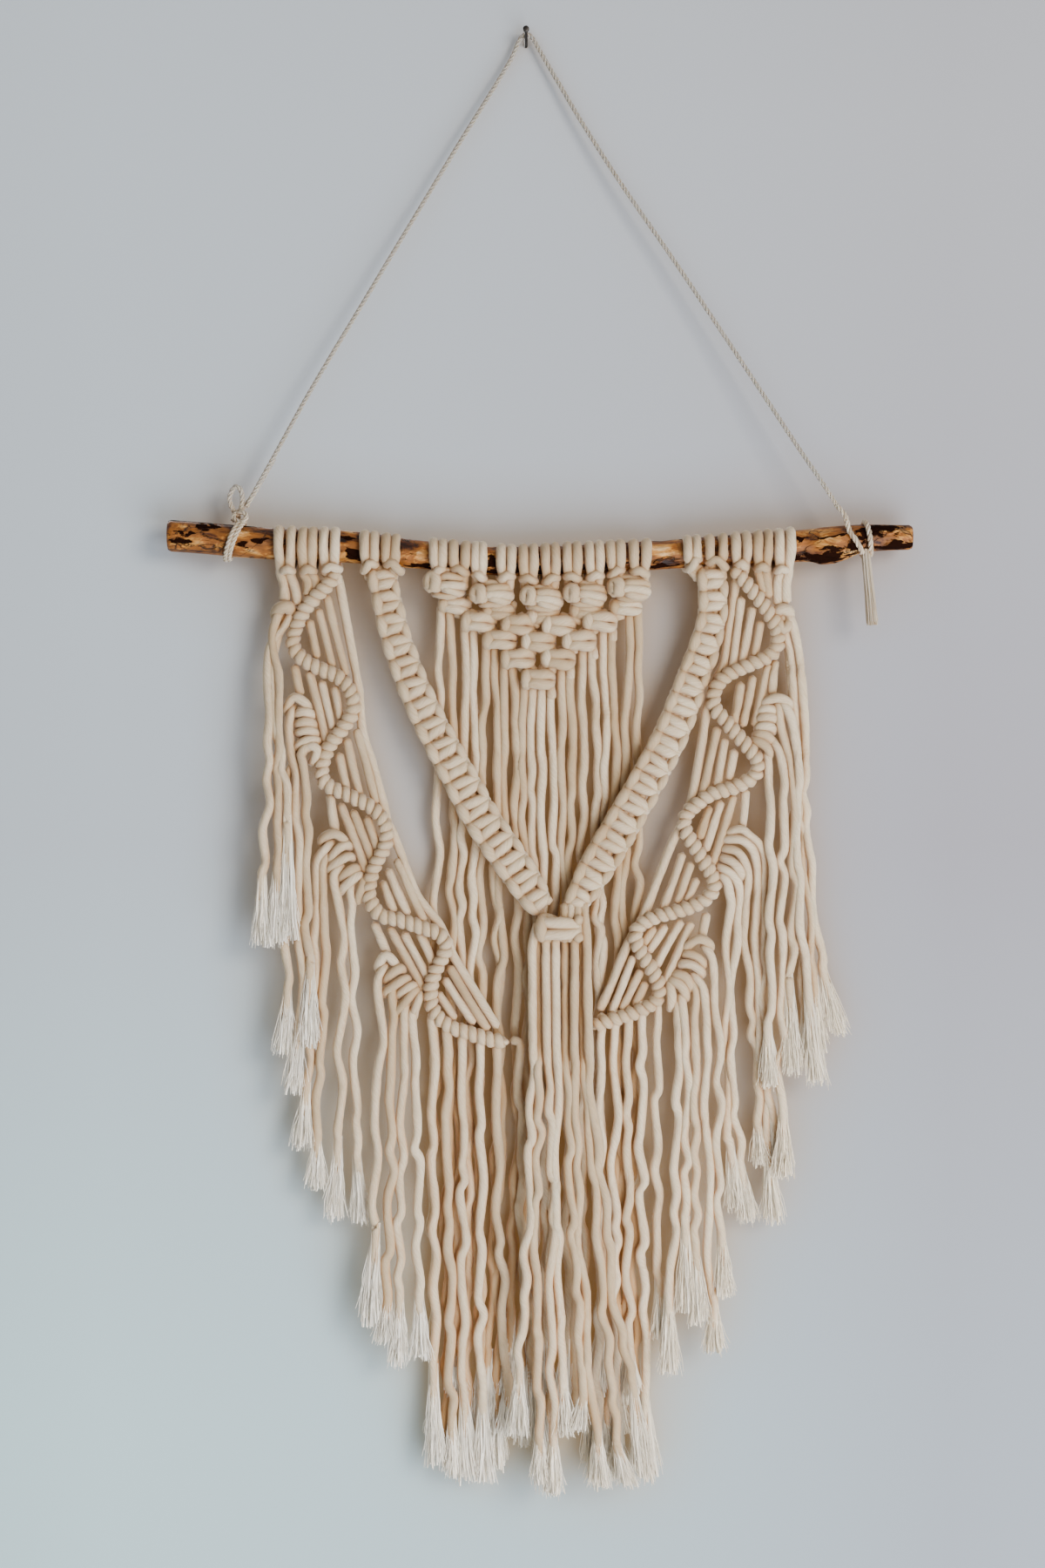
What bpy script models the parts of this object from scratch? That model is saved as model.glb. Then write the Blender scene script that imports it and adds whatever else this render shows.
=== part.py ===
"""Macrame wall hanging on a peeled branch, hung by one cord from a nail.

The origin is the nail's wall end, the wall is the plane y = 0, the front faces -Y and +Z is up.
Sizes and places in the tables are millimetres; every mesh is built in metres.
"""

import math
from collections import namedtuple

import bmesh
import bpy

MM = 0.001
TITLE = "macrame_wall_hanging"

# Cotton cord
CORD = 5.6  # single-strand cotton cord, as it lies in the fringe
HANGER = 2.8  # plied hanging cord

# Depths from the wall to the middle of each layer
BRANCH_Y = -15.5
BACK_FRINGE_Y = -7.5
WEB_Y = -14.0
SENNIT_Y = -15.0
ROPE_Y = -17.0
FRINGE_Y = (-13.6, -19.6)  # panel fringes lie in two layers, turn by turn
BERRY_Y = -21.0
NET_Y = -16.0
BUNDLE_Y = -26.0

# Thicknesses
ROPE_R = 5.2
STACK_R = 4.4
SENNIT_T = 8.4
TOOTH_W = 4.6
TASSEL_W = 6.2  # where a cord is brushed out
TASSEL_FROM = 0.8  # as a share of its length
HEADER_H = 4.0

# The panels start under the lark's heads, further out than they hang below
TOP_PUSH = -5.0
PUSH_FROM = -286.0
PUSH_TO = -330.0

Station = namedtuple("Station", "x z radius")
BRANCH = (
    Station(-192, -266.5, 8.4),
    Station(-135, -271.0, 8.2),
    Station(-95, -272.5, 8.4),
    Station(-58, -276.5, 7.6),
    Station(-7, -280.5, 7.5),
    Station(73, -277.0, 7.7),
    Station(144, -272.0, 8.3),
    Station(159, -272.0, 10.0),
    Station(170, -270.5, 9.4),
    Station(183, -268.0, 7.3),
    Station(207, -267.5, 6.7),
)

# Lark's heads on the branch. hem is the height of the lower edge of a group's bars; None leaves
# the bars behind the berries
HEAD_SLACK = 0.8  # between the branch and the cords round it
HEAD_TURN = (-30, 0, 30, 60, 90, 120, 150, 180, 210)  # round the branch, from its front over its top
HEM_FRONT = 8.5  # how far the bars lie in front of the branch's middle
HEAD_PITCH = 20.0
Heading = namedtuple("Heading", "left right hem")
HEADINGS = (
    Heading(-135.5, -99.0, -286.0),
    Heading(-89.5, -66.5, -285.5),
    Heading(-51.5, 67.5, None),
    Heading(83.5, 107.8, -285.5),
    Heading(108.6, 144.5, -286.0),
)

# The hanging cord, from the left hitch over the nail to the right wraps
HANGER_ROUTE = (
    (-150.0, -16.5, -251.6),
    (-146.0, -15.8, -243.5),
    (-139.4, -15.3, -231.5),
    (-132.0, -14.8, -218.0),
    (-118.6, -13.9, -193.5),
    (-105.0, -12.9, -170.0),
    (-91.2, -12.0, -147.0),
    (-75.0, -10.9, -119.6),
    (-56.4, -9.4, -88.5),
    (-37.6, -7.9, -57.0),
    (-22.0, -6.4, -31.6),
    (-12.5, -5.2, -15.9),
    (-7.2, -4.5, -6.4),
    (-4.4, -4.1, 0.6),
    (-2.3, -4.0, 4.1),
    (0.4, -4.0, 5.6),
    (3.0, -4.0, 4.0),
    (5.5, -4.2, 0.0),
    (9.4, -4.7, -7.0),
    (17.0, -5.6, -20.2),
    (30.6, -7.2, -43.6),
    (52.6, -9.2, -78.4),
    (79.6, -11.2, -118.0),
    (105.4, -13.4, -157.2),
    (130.6, -17.0, -196.2),
    (147.6, -20.5, -222.8),
    (159.6, -23.0, -241.0),
    (166.4, -24.3, -252.2),
)

# The right tie: turns round the branch, front first, then the free tail
Turn = namedtuple("Turn", "angle x")
TIE_TURNS = (
    Turn(62, 170.6),
    Turn(20, 174.2),
    Turn(-30, 177.6),
    Turn(-80, 180.0),
    Turn(-130, 180.8),
    Turn(-180, 181.0),
    Turn(-230, 181.2),
    Turn(-270, 181.6),
    Turn(-310, 182.4),
    Turn(-360, 183.6),
    Turn(-405, 184.4),
)
TIE_TAIL = (
    (184.4, -19.6, -281.0),
    (183.6, -21.0, -289.0),
    (184.4, -21.4, -302.0),
    (185.6, -21.0, -315.0),
)
TIE_R = 1.9
TIE_SLACK = 1.0
TAIL_R = 2.8

# Left hitch: a ring round the branch and a short doubled end that stands up behind it
RING_R = 2.1
RING_X = -157.2
RING_SLACK = 0.7
RING_LEAN = 2.6  # the ring's front leans across to the knot
RING_STEPS = 16
TUFT = ((-155.2, -16.0, -247.6), (3.9, 3.0, 9.0))
HITCH = ((-154.4, -17.5, -257.0), (4.2, 4.2, 4.4))

# Zigzag ropes of double half hitches: x and z of the centre line
Bend = namedtuple("Bend", "x z")
LEFT_ROPE = [
    Bend(*row)
    for row in (
        (-103, -292), (-114, -301), (-122, -311), (-125, -324), (-120, -333), (-109, -339), (-97, -345),
        (-92.5, -357), (-98, -369), (-106, -380), (-110, -391), (-106, -401), (-92, -408), (-79, -416),
        (-75, -427), (-78, -439), (-84, -451), (-84, -462), (-76, -471), (-60, -476), (-47, -481),
        (-43, -489), (-48, -501), (-51, -512), (-49, -522), (-40, -530), (-24, -535), (-7, -538),
    )
]
RIGHT_ROPE = [
    Bend(*row)
    for row in (
        (115, -290), (122, -299), (130, -308), (134.5, -318), (133, -328), (123, -335), (109, -341),
        (101.5, -350), (102, -361), (110, -371), (119, -380), (124, -389), (120, -398), (106, -403),
        (92, -411), (85.5, -422), (89, -433), (96, -444), (100.5, -455), (94, -463), (78, -469), (63, -475),
        (58.5, -484), (63, -493), (69, -502), (71.5, -512), (64, -519), (50, -525), (36, -530),
    )
]

# The fillers between a rope's turns, as rows of the panel from its outer to its inner edge
Row = namedtuple("Row", "z left right")
LEFT_WEB = [
    Row(*row)
    for row in (
        (-286.4, -135, -99), (-301, -134, -98), (-310, -126, -97), (-324, -124.5, -95.5),
        (-338, -124.5, -93.5),
        (-351, -126, -92.5), (-361, -122, -90.5), (-380, -113, -85), (-392, -111, -81), (-406, -109, -78),
        (-422, -109, -74.5), (-432, -105, -70), (-450, -90, -63.5), (-462, -85, -56), (-476, -80, -47.5),
        (-489, -78, -40), (-500, -72, -33.5), (-518, -57, -22), (-527, -46, -16.5), (-534, -28, -12.5),
    )
]
RIGHT_WEB = [
    Row(*row)
    for row in (
        (-286.4, 109.6, 143.5), (-300, 109.2, 143), (-310, 109, 136), (-321, 107, 135), (-333, 104.5, 134),
        (-346, 101.5, 135), (-356, 101, 137), (-364, 100, 132), (-384, 95.5, 126), (-398, 92, 121),
        (-412, 87, 118), (-428, 83, 117), (-434, 81, 113), (-452, 74, 103), (-462, 67.5, 97),
        (-473, 61.5, 96), (-484, 57.5, 95), (-500, 51, 85), (-514, 44.5, 75), (-524, 40, 58),
    )
]

# Lark's heads mounted on the outer edge, stacked down to the rope: x, z and radius
Stack = namedtuple("Stack", "x z radius")
LEFT_STACKS = (
    [Stack(-134, -302.5, 3.6), Stack(-128, -301, 4.0), Stack(-122, -306, 4.4), Stack(-118, -309, 4.4)],
    [Stack(-125.5, -352, 3.6), Stack(-120.5, -350.5, 4.0), Stack(-117, -357, STACK_R),
     Stack(-115, -365, STACK_R), Stack(-112, -373, STACK_R), Stack(-107, -382, STACK_R)],
    [Stack(-108.5, -426, 3.6), Stack(-103, -422, 4.0), Stack(-98, -427, STACK_R), Stack(-94, -434, STACK_R),
     Stack(-90, -442, STACK_R), Stack(-84, -449, STACK_R)],
    [Stack(-77.5, -490.5, 3.6), Stack(-73, -487, 4.0), Stack(-68, -493, STACK_R), Stack(-63, -501, STACK_R),
     Stack(-57, -510, STACK_R), Stack(-51, -514, STACK_R)],
)
RIGHT_STACKS = (
    [Stack(142.5, -301.5, 3.6), Stack(137, -299.5, 4.0), Stack(131, -304, 4.4), Stack(128, -306, 4.4)],
    [Stack(138.5, -350.5, 3.6), Stack(133, -347.5, 4.0), Stack(130, -354, STACK_R), Stack(129, -363, STACK_R),
     Stack(127, -373, STACK_R), Stack(123, -384, STACK_R)],
    [Stack(117.5, -425.5, 3.6), Stack(113, -421, 4.0), Stack(110, -428, STACK_R), Stack(107, -437, STACK_R),
     Stack(103, -446, STACK_R), Stack(99.5, -450, STACK_R)],
    [Stack(96.5, -481, 3.6), Stack(92, -477.5, 4.0), Stack(88, -484, STACK_R), Stack(84, -494, STACK_R),
     Stack(78, -504, STACK_R), Stack(72, -508, STACK_R)],
)

# Flat bands of square knots: x, z and half width of the centre line
Band = namedtuple("Band", "x z half")
LEFT_SENNIT = [
    Band(*row)
    for row in (
        (-78, -286.4, 8.3), (-75, -301, 8.3), (-70, -322, 8.6), (-63, -341, 9.0), (-55, -360, 9.4),
        (-45, -378, 9.8), (-35, -398, 10.0), (-24, -418, 10.2), (-11, -437, 10.2), (0, -454, 9.4),
        (6, -465, 7.4),
    )
]
RIGHT_SENNIT = [
    Band(*row)
    for row in (
        (99.5, -286.4, 8.2), (100, -299, 8.2), (99.3, -312, 8.2), (95, -328, 8.6), (89.5, -342, 9.0),
        (79, -370, 9.6), (64, -399, 10.0), (48, -427, 10.2), (36, -447, 9.6), (27, -463.5, 7.4),
    )
]
SENNIT_KNOTS = 17
WAIST = 0.86  # a band's width between two knots, as a share of its width over them

Knot = namedtuple("Knot", "x z")
BERRIES = (Knot(-43, -294.5), Knot(-18.2, -296), Knot(8, -298), Knot(31.4, -296), Knot(56.1, -294))
BERRY_HALF = (11.3, 7.5, 9.3)
CLOSING_DROP = 14.4  # from a berry's middle to the small knot that closes it
CLOSING_HALF = (11.0, 4.2, 4.6)
NET_KNOTS = (
    Knot(-26, -313), Knot(-5, -314.5), Knot(17, -315), Knot(39, -312.5),
    Knot(-14.5, -322.5), Knot(6, -323.5), Knot(28, -323),
    Knot(-5, -332.5), Knot(16.5, -332.5),
    Knot(6, -343.5),
)
NET_HALF = (10.8, 4.5, 6.6)
JOINING = Knot(16.5, -477.0)
JOINING_HALF = (15.0, 6.5, 8.0)

# Fringe teeth: where each leaves its knot, its middle and its end
Tooth = namedtuple("Tooth", "x top half_x end_x end")
LEFT_FRINGES = (
    (Tooth(-138.6, -312, -137.6, -141, -487), Tooth(-133, -313, -132, -129, -480)),
    (Tooth(-126, -361, -122, -123, -566), Tooth(-119.6, -376, -116, -114.6, -541)),
    (Tooth(-111, -435, -114.6, -119, -596), Tooth(-105.4, -438, -108, -112, -621),
     Tooth(-99.6, -446, -101, -103, -634), Tooth(-94, -456, -92, -88, -636)),
    (Tooth(-78, -500, -80, -83, -686), Tooth(-72.3, -504.5, -73.6, -76, -696),
     Tooth(-66.5, -514, -67, -67.4, -711), Tooth(-60.6, -521.5, -58, -55, -708)),
    (Tooth(-49, -531.5, -48.6, -48, -762), Tooth(-42, -536, -41, -39.4, -772),
     Tooth(-34.6, -539, -33, -31, -775), Tooth(-26, -541.5, -25, -22.6, -776),
     Tooth(-16, -544, -14, -10.6, -750), Tooth(-5, -546, 1, 11, -780)),
)
RIGHT_FRINGES = (
    (Tooth(142.9, -311, 144.4, 150.5, -551), Tooth(148.6, -310, 151, 168, -535)),
    (Tooth(130.2, -396, 130.6, 131, -563), Tooth(135.8, -381, 136.4, 138, -614),
     Tooth(141.6, -361, 143, 144.6, -556)),
    (Tooth(108.6, -457, 107.6, 113, -630), Tooth(114.2, -446, 114, 120, -636),
     Tooth(119.8, -436, 121, 130, -605)),
    (Tooth(76.2, -523, 77, 78, -718), Tooth(81.9, -516.5, 83, 86, -683), Tooth(87.5, -509.5, 89, 94, -690),
     Tooth(93, -498.5, 95, 100.6, -702), Tooth(98.6, -491, 101, 107, -675)),
    (Tooth(40.4, -536, 39.6, 38, -775), Tooth(47.6, -533.5, 48, 50, -774), Tooth(55, -531, 55, 57, -726),
     Tooth(62.4, -528.5, 63, 66, -772), Tooth(69.4, -526, 70, 73, -698)),
)
CENTRE_FRINGE = {"count": 20, "left": -47.0, "right": 60.0, "end": -750.0, "spread": 20.0}
CENTRE_TIP = -349.0  # the centre fringe hangs from under the net, lowest in its middle
CENTRE_SLOPE = 0.6
BUNDLE = {"count": 6, "left": 3.8, "right": 31.6, "end": -762.0, "spread": 12.0}
BUNDLE_TOP = -485.6
BUNDLE_SWING = 34.0  # the drop over which the bundle comes forward to its own layer
UNEVEN = 2.4  # turns the count of a cord into how far its end is off the mean

# Nail: it slopes up towards its head
SHANK_R = 0.9
NAIL_L = 13.0
HEAD_R = 1.7
HEAD_T = 1.0
NAIL_RISE = 0.5

MATERIALS = {
    "cotton": ((0.72, 0.64, 0.53), 0.95, 0.0),
    "hanger": ((0.70, 0.66, 0.58), 0.95, 0.0),
    "wood": ((0.42, 0.17, 0.05), 0.55, 0.0),
    "steel": ((0.10, 0.10, 0.10), 0.45, 1.0),
}


def metres(points):
    return [tuple(value * MM for value in point) for point in points]


def smooth_through(points, spans):
    """Points of a Catmull-Rom curve through the given ones, spans of them to each stretch."""
    count = len(points)
    line = []
    for i in range(count - 1):
        before, here, there, after = (
            points[max(i - 1, 0)], points[i], points[i + 1], points[min(i + 2, count - 1)],
        )
        for step in range(spans):
            t = step / spans
            line.append(
                tuple(
                    0.5 * (2 * b + (c - a) * t + (2 * a - 5 * b + 4 * c - d) * t * t
                           + (3 * b - a - 3 * c + d) * t ** 3)
                    for a, b, c, d in zip(before, here, there, after)
                )
            )
    line.append(tuple(points[-1]))
    return line


def push(z):
    """How far forward of its layer a panel hangs at height z."""
    t = min(max((z - PUSH_TO) / (PUSH_FROM - PUSH_TO), 0.0), 1.0)
    return TOP_PUSH * t * t * (3 - 2 * t)


def material(name):
    found = bpy.data.materials.get(name)
    if found:
        return found
    colour, roughness, metallic = MATERIALS[name]
    made = bpy.data.materials.new(name)
    made.use_nodes = True
    shader = made.node_tree.nodes["Principled BSDF"]
    shader.inputs["Base Color"].default_value = (*colour, 1.0)
    shader.inputs["Roughness"].default_value = roughness
    shader.inputs["Metallic"].default_value = metallic
    return made


def add_object(name, data, finish):
    data.materials.clear()
    data.materials.append(material(finish))
    obj = bpy.data.objects.new(name, data)
    bpy.data.collections[TITLE].objects.link(obj)
    return obj


def tube(name, points, radius, finish, sides_half=2, cyclic=False):
    """A round cord through points; radius is one value or one for each point."""
    curve = bpy.data.curves.new(name, "CURVE")
    curve.dimensions = "3D"
    curve.bevel_depth = MM
    curve.bevel_resolution = sides_half
    curve.use_fill_caps = not cyclic
    spline = curve.splines.new("POLY")
    spline.points.add(len(points) - 1)
    radii = radius if isinstance(radius, (list, tuple)) else [radius] * len(points)
    for point, place, size in zip(spline.points, metres(points), radii):
        point.co = (*place, 1.0)
        point.radius = size
    spline.use_cyclic_u = cyclic
    return add_object(name, curve, finish)


def as_mesh(obj):
    """The object's evaluated shape as a welded mesh, in place of the object."""
    shape = bpy.data.meshes.new_from_object(obj.evaluated_get(bpy.context.evaluated_depsgraph_get()))
    model = bmesh.new()
    model.from_mesh(shape)
    bmesh.ops.remove_doubles(model, verts=model.verts, dist=1e-6)
    bmesh.ops.recalc_face_normals(model, faces=model.faces)
    model.to_mesh(shape)
    model.free()
    name, finish = obj.name, obj.data.materials[0].name
    bpy.data.objects.remove(obj)
    return add_object(name, shape, finish)


def unite(pieces, name):
    """One solid from overlapping pieces: the first keeps the shape, the rest become its cutters."""
    base = pieces[0]
    for other in pieces[1:]:
        joint = base.modifiers.new("join " + other.name, "BOOLEAN")
        joint.operation = "UNION"
        joint.solver = "EXACT"
        joint.object = other
        bpy.data.collections[TITLE].objects.unlink(other)
        bpy.data.collections["cutters"].objects.link(other)
        other.hide_render = True
        other.display_type = "WIRE"
    base.name = name
    return base


def sheet(name, model, thickness, finish):
    """A cloth solid: the open surface in model, given its thickness half to each side."""
    mesh = bpy.data.meshes.new(name)
    bmesh.ops.remove_doubles(model, verts=model.verts, dist=1e-6)
    bmesh.ops.recalc_face_normals(model, faces=model.faces)
    model.to_mesh(mesh)
    model.free()
    obj = add_object(name, mesh, finish)
    solid = obj.modifiers.new("thickness", "SOLIDIFY")
    solid.thickness = thickness * MM
    solid.offset = 0.0
    return obj


def strip(model, rows):
    """Faces between rows, each row a list of points of one length."""
    lines = [[model.verts.new(point) for point in metres(row)] for row in rows]
    for upper, lower in zip(lines, lines[1:]):
        for i in range(len(upper) - 1):
            model.faces.new((upper[i], upper[i + 1], lower[i + 1], lower[i]))


def ball(name, centre, half, finish="cotton", segments=10, rings=6):
    mesh = bpy.data.meshes.new(name)
    model = bmesh.new()
    bmesh.ops.create_uvsphere(model, u_segments=segments, v_segments=rings, radius=MM)
    bmesh.ops.scale(model, vec=half, verts=model.verts)
    bmesh.ops.translate(model, vec=[value * MM for value in centre], verts=model.verts)
    model.to_mesh(mesh)
    model.free()
    return add_object(name, mesh, finish)


def branch_at(x):
    """Height and radius of the branch at x, between its stations."""
    for here, there in zip(BRANCH, BRANCH[1:]):
        if x <= there.x:
            t = (x - here.x) / (there.x - here.x)
            return here.z + (there.z - here.z) * t, here.radius + (there.radius - here.radius) * t
    return BRANCH[-1].z, BRANCH[-1].radius


def make_branch():
    points = [(s.x, BRANCH_Y, s.z) for s in BRANCH]
    tube("branch", points, [s.radius for s in BRANCH], "wood", sides_half=4)


def make_nail():
    """A wire nail, its wall end flat on the wall, sheared so that its head is the higher end."""
    model = bmesh.new()
    profile = ((0.0, SHANK_R), (NAIL_L - HEAD_T, SHANK_R), (NAIL_L - HEAD_T, HEAD_R), (NAIL_L, HEAD_R))
    sides = 16
    rings = []
    for depth, radius in profile:
        ring = []
        for i in range(sides):
            turn = 2 * math.pi * i / sides
            x = radius * math.cos(turn)
            z = radius * math.sin(turn) + NAIL_RISE * depth
            ring.append(model.verts.new((x * MM, -depth * MM, z * MM)))
        rings.append(ring)
    for near, far in zip(rings, rings[1:]):
        for i in range(sides):
            model.faces.new((near[i], near[(i + 1) % sides], far[(i + 1) % sides], far[i]))
    model.faces.new(rings[0])
    model.faces.new(rings[-1])
    bmesh.ops.recalc_face_normals(model, faces=model.faces)
    mesh = bpy.data.meshes.new("nail")
    model.to_mesh(mesh)
    model.free()
    add_object("nail", mesh, "steel")


def make_hanger():
    tube("hanger_cord", smooth_through(HANGER_ROUTE, 2), HANGER / 2, "hanger")

    turns = []
    for turn in smooth_through(TIE_TURNS, 2):
        angle, x = turn
        z, radius = branch_at(x)
        reach = radius + TIE_SLACK + TIE_R
        turns.append((
            x,
            BRANCH_Y - reach * math.cos(math.radians(angle)),
            z + reach * math.sin(math.radians(angle)),
        ))
    tail = smooth_through(TIE_TAIL, 2)
    swell = (TAIL_R - TIE_R) / (len(tail) - 1)
    sizes = [TIE_R] * len(turns) + [TIE_R + swell * i for i in range(len(tail))]
    tube("hanger_tie_right", turns + tail, sizes, "hanger")

    ring = []
    z, radius = branch_at(RING_X)
    reach = radius + RING_SLACK + RING_R
    for i in range(RING_STEPS):
        turn = 2 * math.pi * i / RING_STEPS
        x = RING_X + RING_LEAN * math.sin(turn) * max(math.cos(turn), 0.3)
        ring.append((x, BRANCH_Y - reach * math.cos(turn), z + reach * math.sin(turn)))
    loop = as_mesh(tube("hitch ring", ring, RING_R, "hanger", cyclic=True))
    hitch = ball("hitch knot", *HITCH, finish="hanger")
    tuft = ball("hitch tuft", *TUFT, finish="hanger")
    unite([loop, hitch, tuft], "hanger_hitch_left")


def make_heading(name, group):
    """A row of lark's heads as one sleeve: bars below the branch, cords over its front, top and back."""
    stations = max(2, round((group.right - group.left) / HEAD_PITCH) + 1)
    rows = []
    for k in range(stations):
        x = group.left + (group.right - group.left) * k / (stations - 1)
        z, radius = branch_at(x)
        reach = radius + HEAD_SLACK + CORD / 2
        row = []
        if group.hem is not None:
            row.append((x, BRANCH_Y - HEM_FRONT, group.hem))
        for angle in HEAD_TURN:
            turn = math.radians(angle)
            row.append((x, BRANCH_Y - reach * math.cos(turn), z + reach * math.sin(turn)))
        rows.append(row)
    model = bmesh.new()
    strip(model, rows)
    sheet(name, model, CORD, "cotton")


def make_panel(name, rope, web, stacks):
    """A zigzag rope, the fillers held between its turns and the lark's heads on its outer edge."""
    model = bmesh.new()
    rows = []
    for row in web:
        y = WEB_Y + push(row.z)
        rows.append([(row.left, y, row.z), (row.right, y, row.z)])
    strip(model, rows)
    pieces = [sheet(name + " web", model, CORD, "cotton")]
    line = [(b.x, ROPE_Y + push(b.z), b.z) for b in rope]
    pieces.append(as_mesh(tube(name + " rope", line, ROPE_R, "cotton")))
    for i, stack in enumerate(stacks):
        line = [(s.x, SENNIT_Y + push(s.z), s.z) for s in stack]
        sizes = [s.radius for s in stack]
        pieces.append(as_mesh(tube(f"{name} stack {i}", line, sizes, "cotton")))
    unite(pieces, name)


def make_sennit(name, band):
    """A band of square knots, wide over each knot and drawn in between them."""
    line = smooth_through(band, 8)
    lengths = [0.0]
    for here, there in zip(line, line[1:]):
        lengths.append(lengths[-1] + math.dist(here[:2], there[:2]))
    model = bmesh.new()
    rows = []
    for k in range(2 * SENNIT_KNOTS + 1):
        along = lengths[-1] * k / (2 * SENNIT_KNOTS)
        i = max(j for j, length in enumerate(lengths[:-1]) if length <= along)
        t = (along - lengths[i]) / (lengths[i + 1] - lengths[i])
        x, z, half = (a + (b - a) * t for a, b in zip(line[i], line[i + 1]))
        dx, dz = line[i + 1][0] - line[i][0], line[i + 1][1] - line[i][1]
        size = math.hypot(dx, dz)
        across = (-dz / size, dx / size) if 0 < k < 2 * SENNIT_KNOTS else (1.0, 0.0)
        half *= 1.0 if k % 2 else WAIST
        y = SENNIT_Y + push(z)
        rows.append([
            (x - half * across[0], y, z - half * across[1]),
            (x + half * across[0], y, z + half * across[1]),
        ])
    strip(model, rows)
    sheet(name, model, SENNIT_T, "cotton")


def make_net():
    """The berry knots, and the triangle of square knots under them."""
    for i, berry in enumerate(BERRIES):
        ball(f"berry_knot_{i + 1}", (berry.x, BERRY_Y, berry.z), BERRY_HALF)
    pieces = []
    for i, knot in enumerate(NET_KNOTS):
        pieces.append(ball(f"square knot {i}", (knot.x, NET_Y, knot.z), NET_HALF, segments=8))
    for i, berry in enumerate(BERRIES):
        centre = (berry.x, NET_Y, berry.z - CLOSING_DROP)
        pieces.append(ball(f"closing knot {i}", centre, CLOSING_HALF, segments=8))
    unite(pieces, "knot_triangle")


def make_comb(name, teeth, depth, sections=6, tassel=TASSEL_W):
    """A fringe: a short header that joins the teeth, and the hanging cords below it."""
    model = bmesh.new()
    half = TOOTH_W / 2
    tops = []
    for tooth in teeth:
        header = []
        for z in (tooth.top, tooth.top - HEADER_H):
            header.append([(tooth.x + side * half, depth(z), z) for side in (-1, 1)])
        tops.append(header)
        strip(model, header)
        rows = []
        for k in range(sections + 1):
            t = k / sections
            x = (tooth.x * (1 - t) * (1 - 2 * t) + tooth.half_x * 4 * t * (1 - t)
                 + tooth.end_x * t * (2 * t - 1))
            z = tooth.top - HEADER_H + (tooth.end - tooth.top + HEADER_H) * t
            flare = max(t - TASSEL_FROM, 0.0) / (1 - TASSEL_FROM)
            wide = half + (tassel / 2 - half) * flare
            rows.append([(x + side * wide, depth(z), z) for side in (-1, 1)])
        strip(model, rows)
    for here, there in zip(tops, tops[1:]):
        strip(model, [[here[0][1], there[0][0]], [here[1][1], there[1][0]]])
    sheet(name, model, CORD, "cotton")


def even_teeth(plan, top):
    """Teeth at one pitch, their ends a little uneven."""
    teeth = []
    pitch = (plan["right"] - plan["left"]) / (plan["count"] - 1)
    for i in range(plan["count"]):
        x = plan["left"] + pitch * i
        end = plan["end"] - plan["spread"] * math.sin(UNEVEN * i)
        teeth.append(Tooth(x, top(x), x, x, end))
    return teeth


def make_fringes():
    middle = (CENTRE_FRINGE["left"] + CENTRE_FRINGE["right"]) / 2

    def under_net(x):
        return CENTRE_TIP + CENTRE_SLOPE * abs(x - middle)

    back = even_teeth(CENTRE_FRINGE, under_net)
    make_comb("fringe_centre", back, lambda z: BACK_FRINGE_Y, sections=3, tassel=TOOTH_W)

    def bundle_depth(z):
        """The bundle swings forward over the ends of the ropes."""
        t = min((BUNDLE_TOP - z) / BUNDLE_SWING, 1.0)
        return ROPE_Y + (BUNDLE_Y - ROPE_Y) * t * t * (3 - 2 * t)

    front = even_teeth(BUNDLE, lambda x: BUNDLE_TOP)
    make_comb("fringe_bundle", front, bundle_depth, sections=8, tassel=TOOTH_W)
    for side, fringes in (("left", LEFT_FRINGES), ("right", RIGHT_FRINGES)):
        for i, teeth in enumerate(fringes):
            make_comb(f"fringe_{side}_{i + 1}", teeth, lambda z, layer=FRINGE_Y[i % 2]: layer)


def main():
    for obj in list(bpy.data.objects):
        bpy.data.objects.remove(obj)
    for name in (TITLE, "cutters"):
        bpy.context.scene.collection.children.link(bpy.data.collections.new(name))
    make_nail()
    make_branch()
    make_hanger()
    for i, group in enumerate(HEADINGS):
        make_heading(f"heading_{i + 1}", group)
    make_panel("zigzag_panel_left", LEFT_ROPE, LEFT_WEB, LEFT_STACKS)
    make_panel("zigzag_panel_right", RIGHT_ROPE, RIGHT_WEB, RIGHT_STACKS)
    make_sennit("sennit_left", LEFT_SENNIT)
    make_sennit("sennit_right", RIGHT_SENNIT)
    make_net()
    ball("joining_knot", (JOINING.x, BERRY_Y, JOINING.z), JOINING_HALF, segments=12, rings=8)
    make_fringes()


main()
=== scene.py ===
"""Looks of the macrame wall hanging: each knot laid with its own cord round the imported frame.

The tables are in millimetres, in the frame of the CAD: the origin is the nail's wall end, the front
faces -Y and +Z is up. Every mesh is built in metres.
"""

import math
import random
from collections import namedtuple

import bmesh
import bpy
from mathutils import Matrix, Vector, noise


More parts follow.
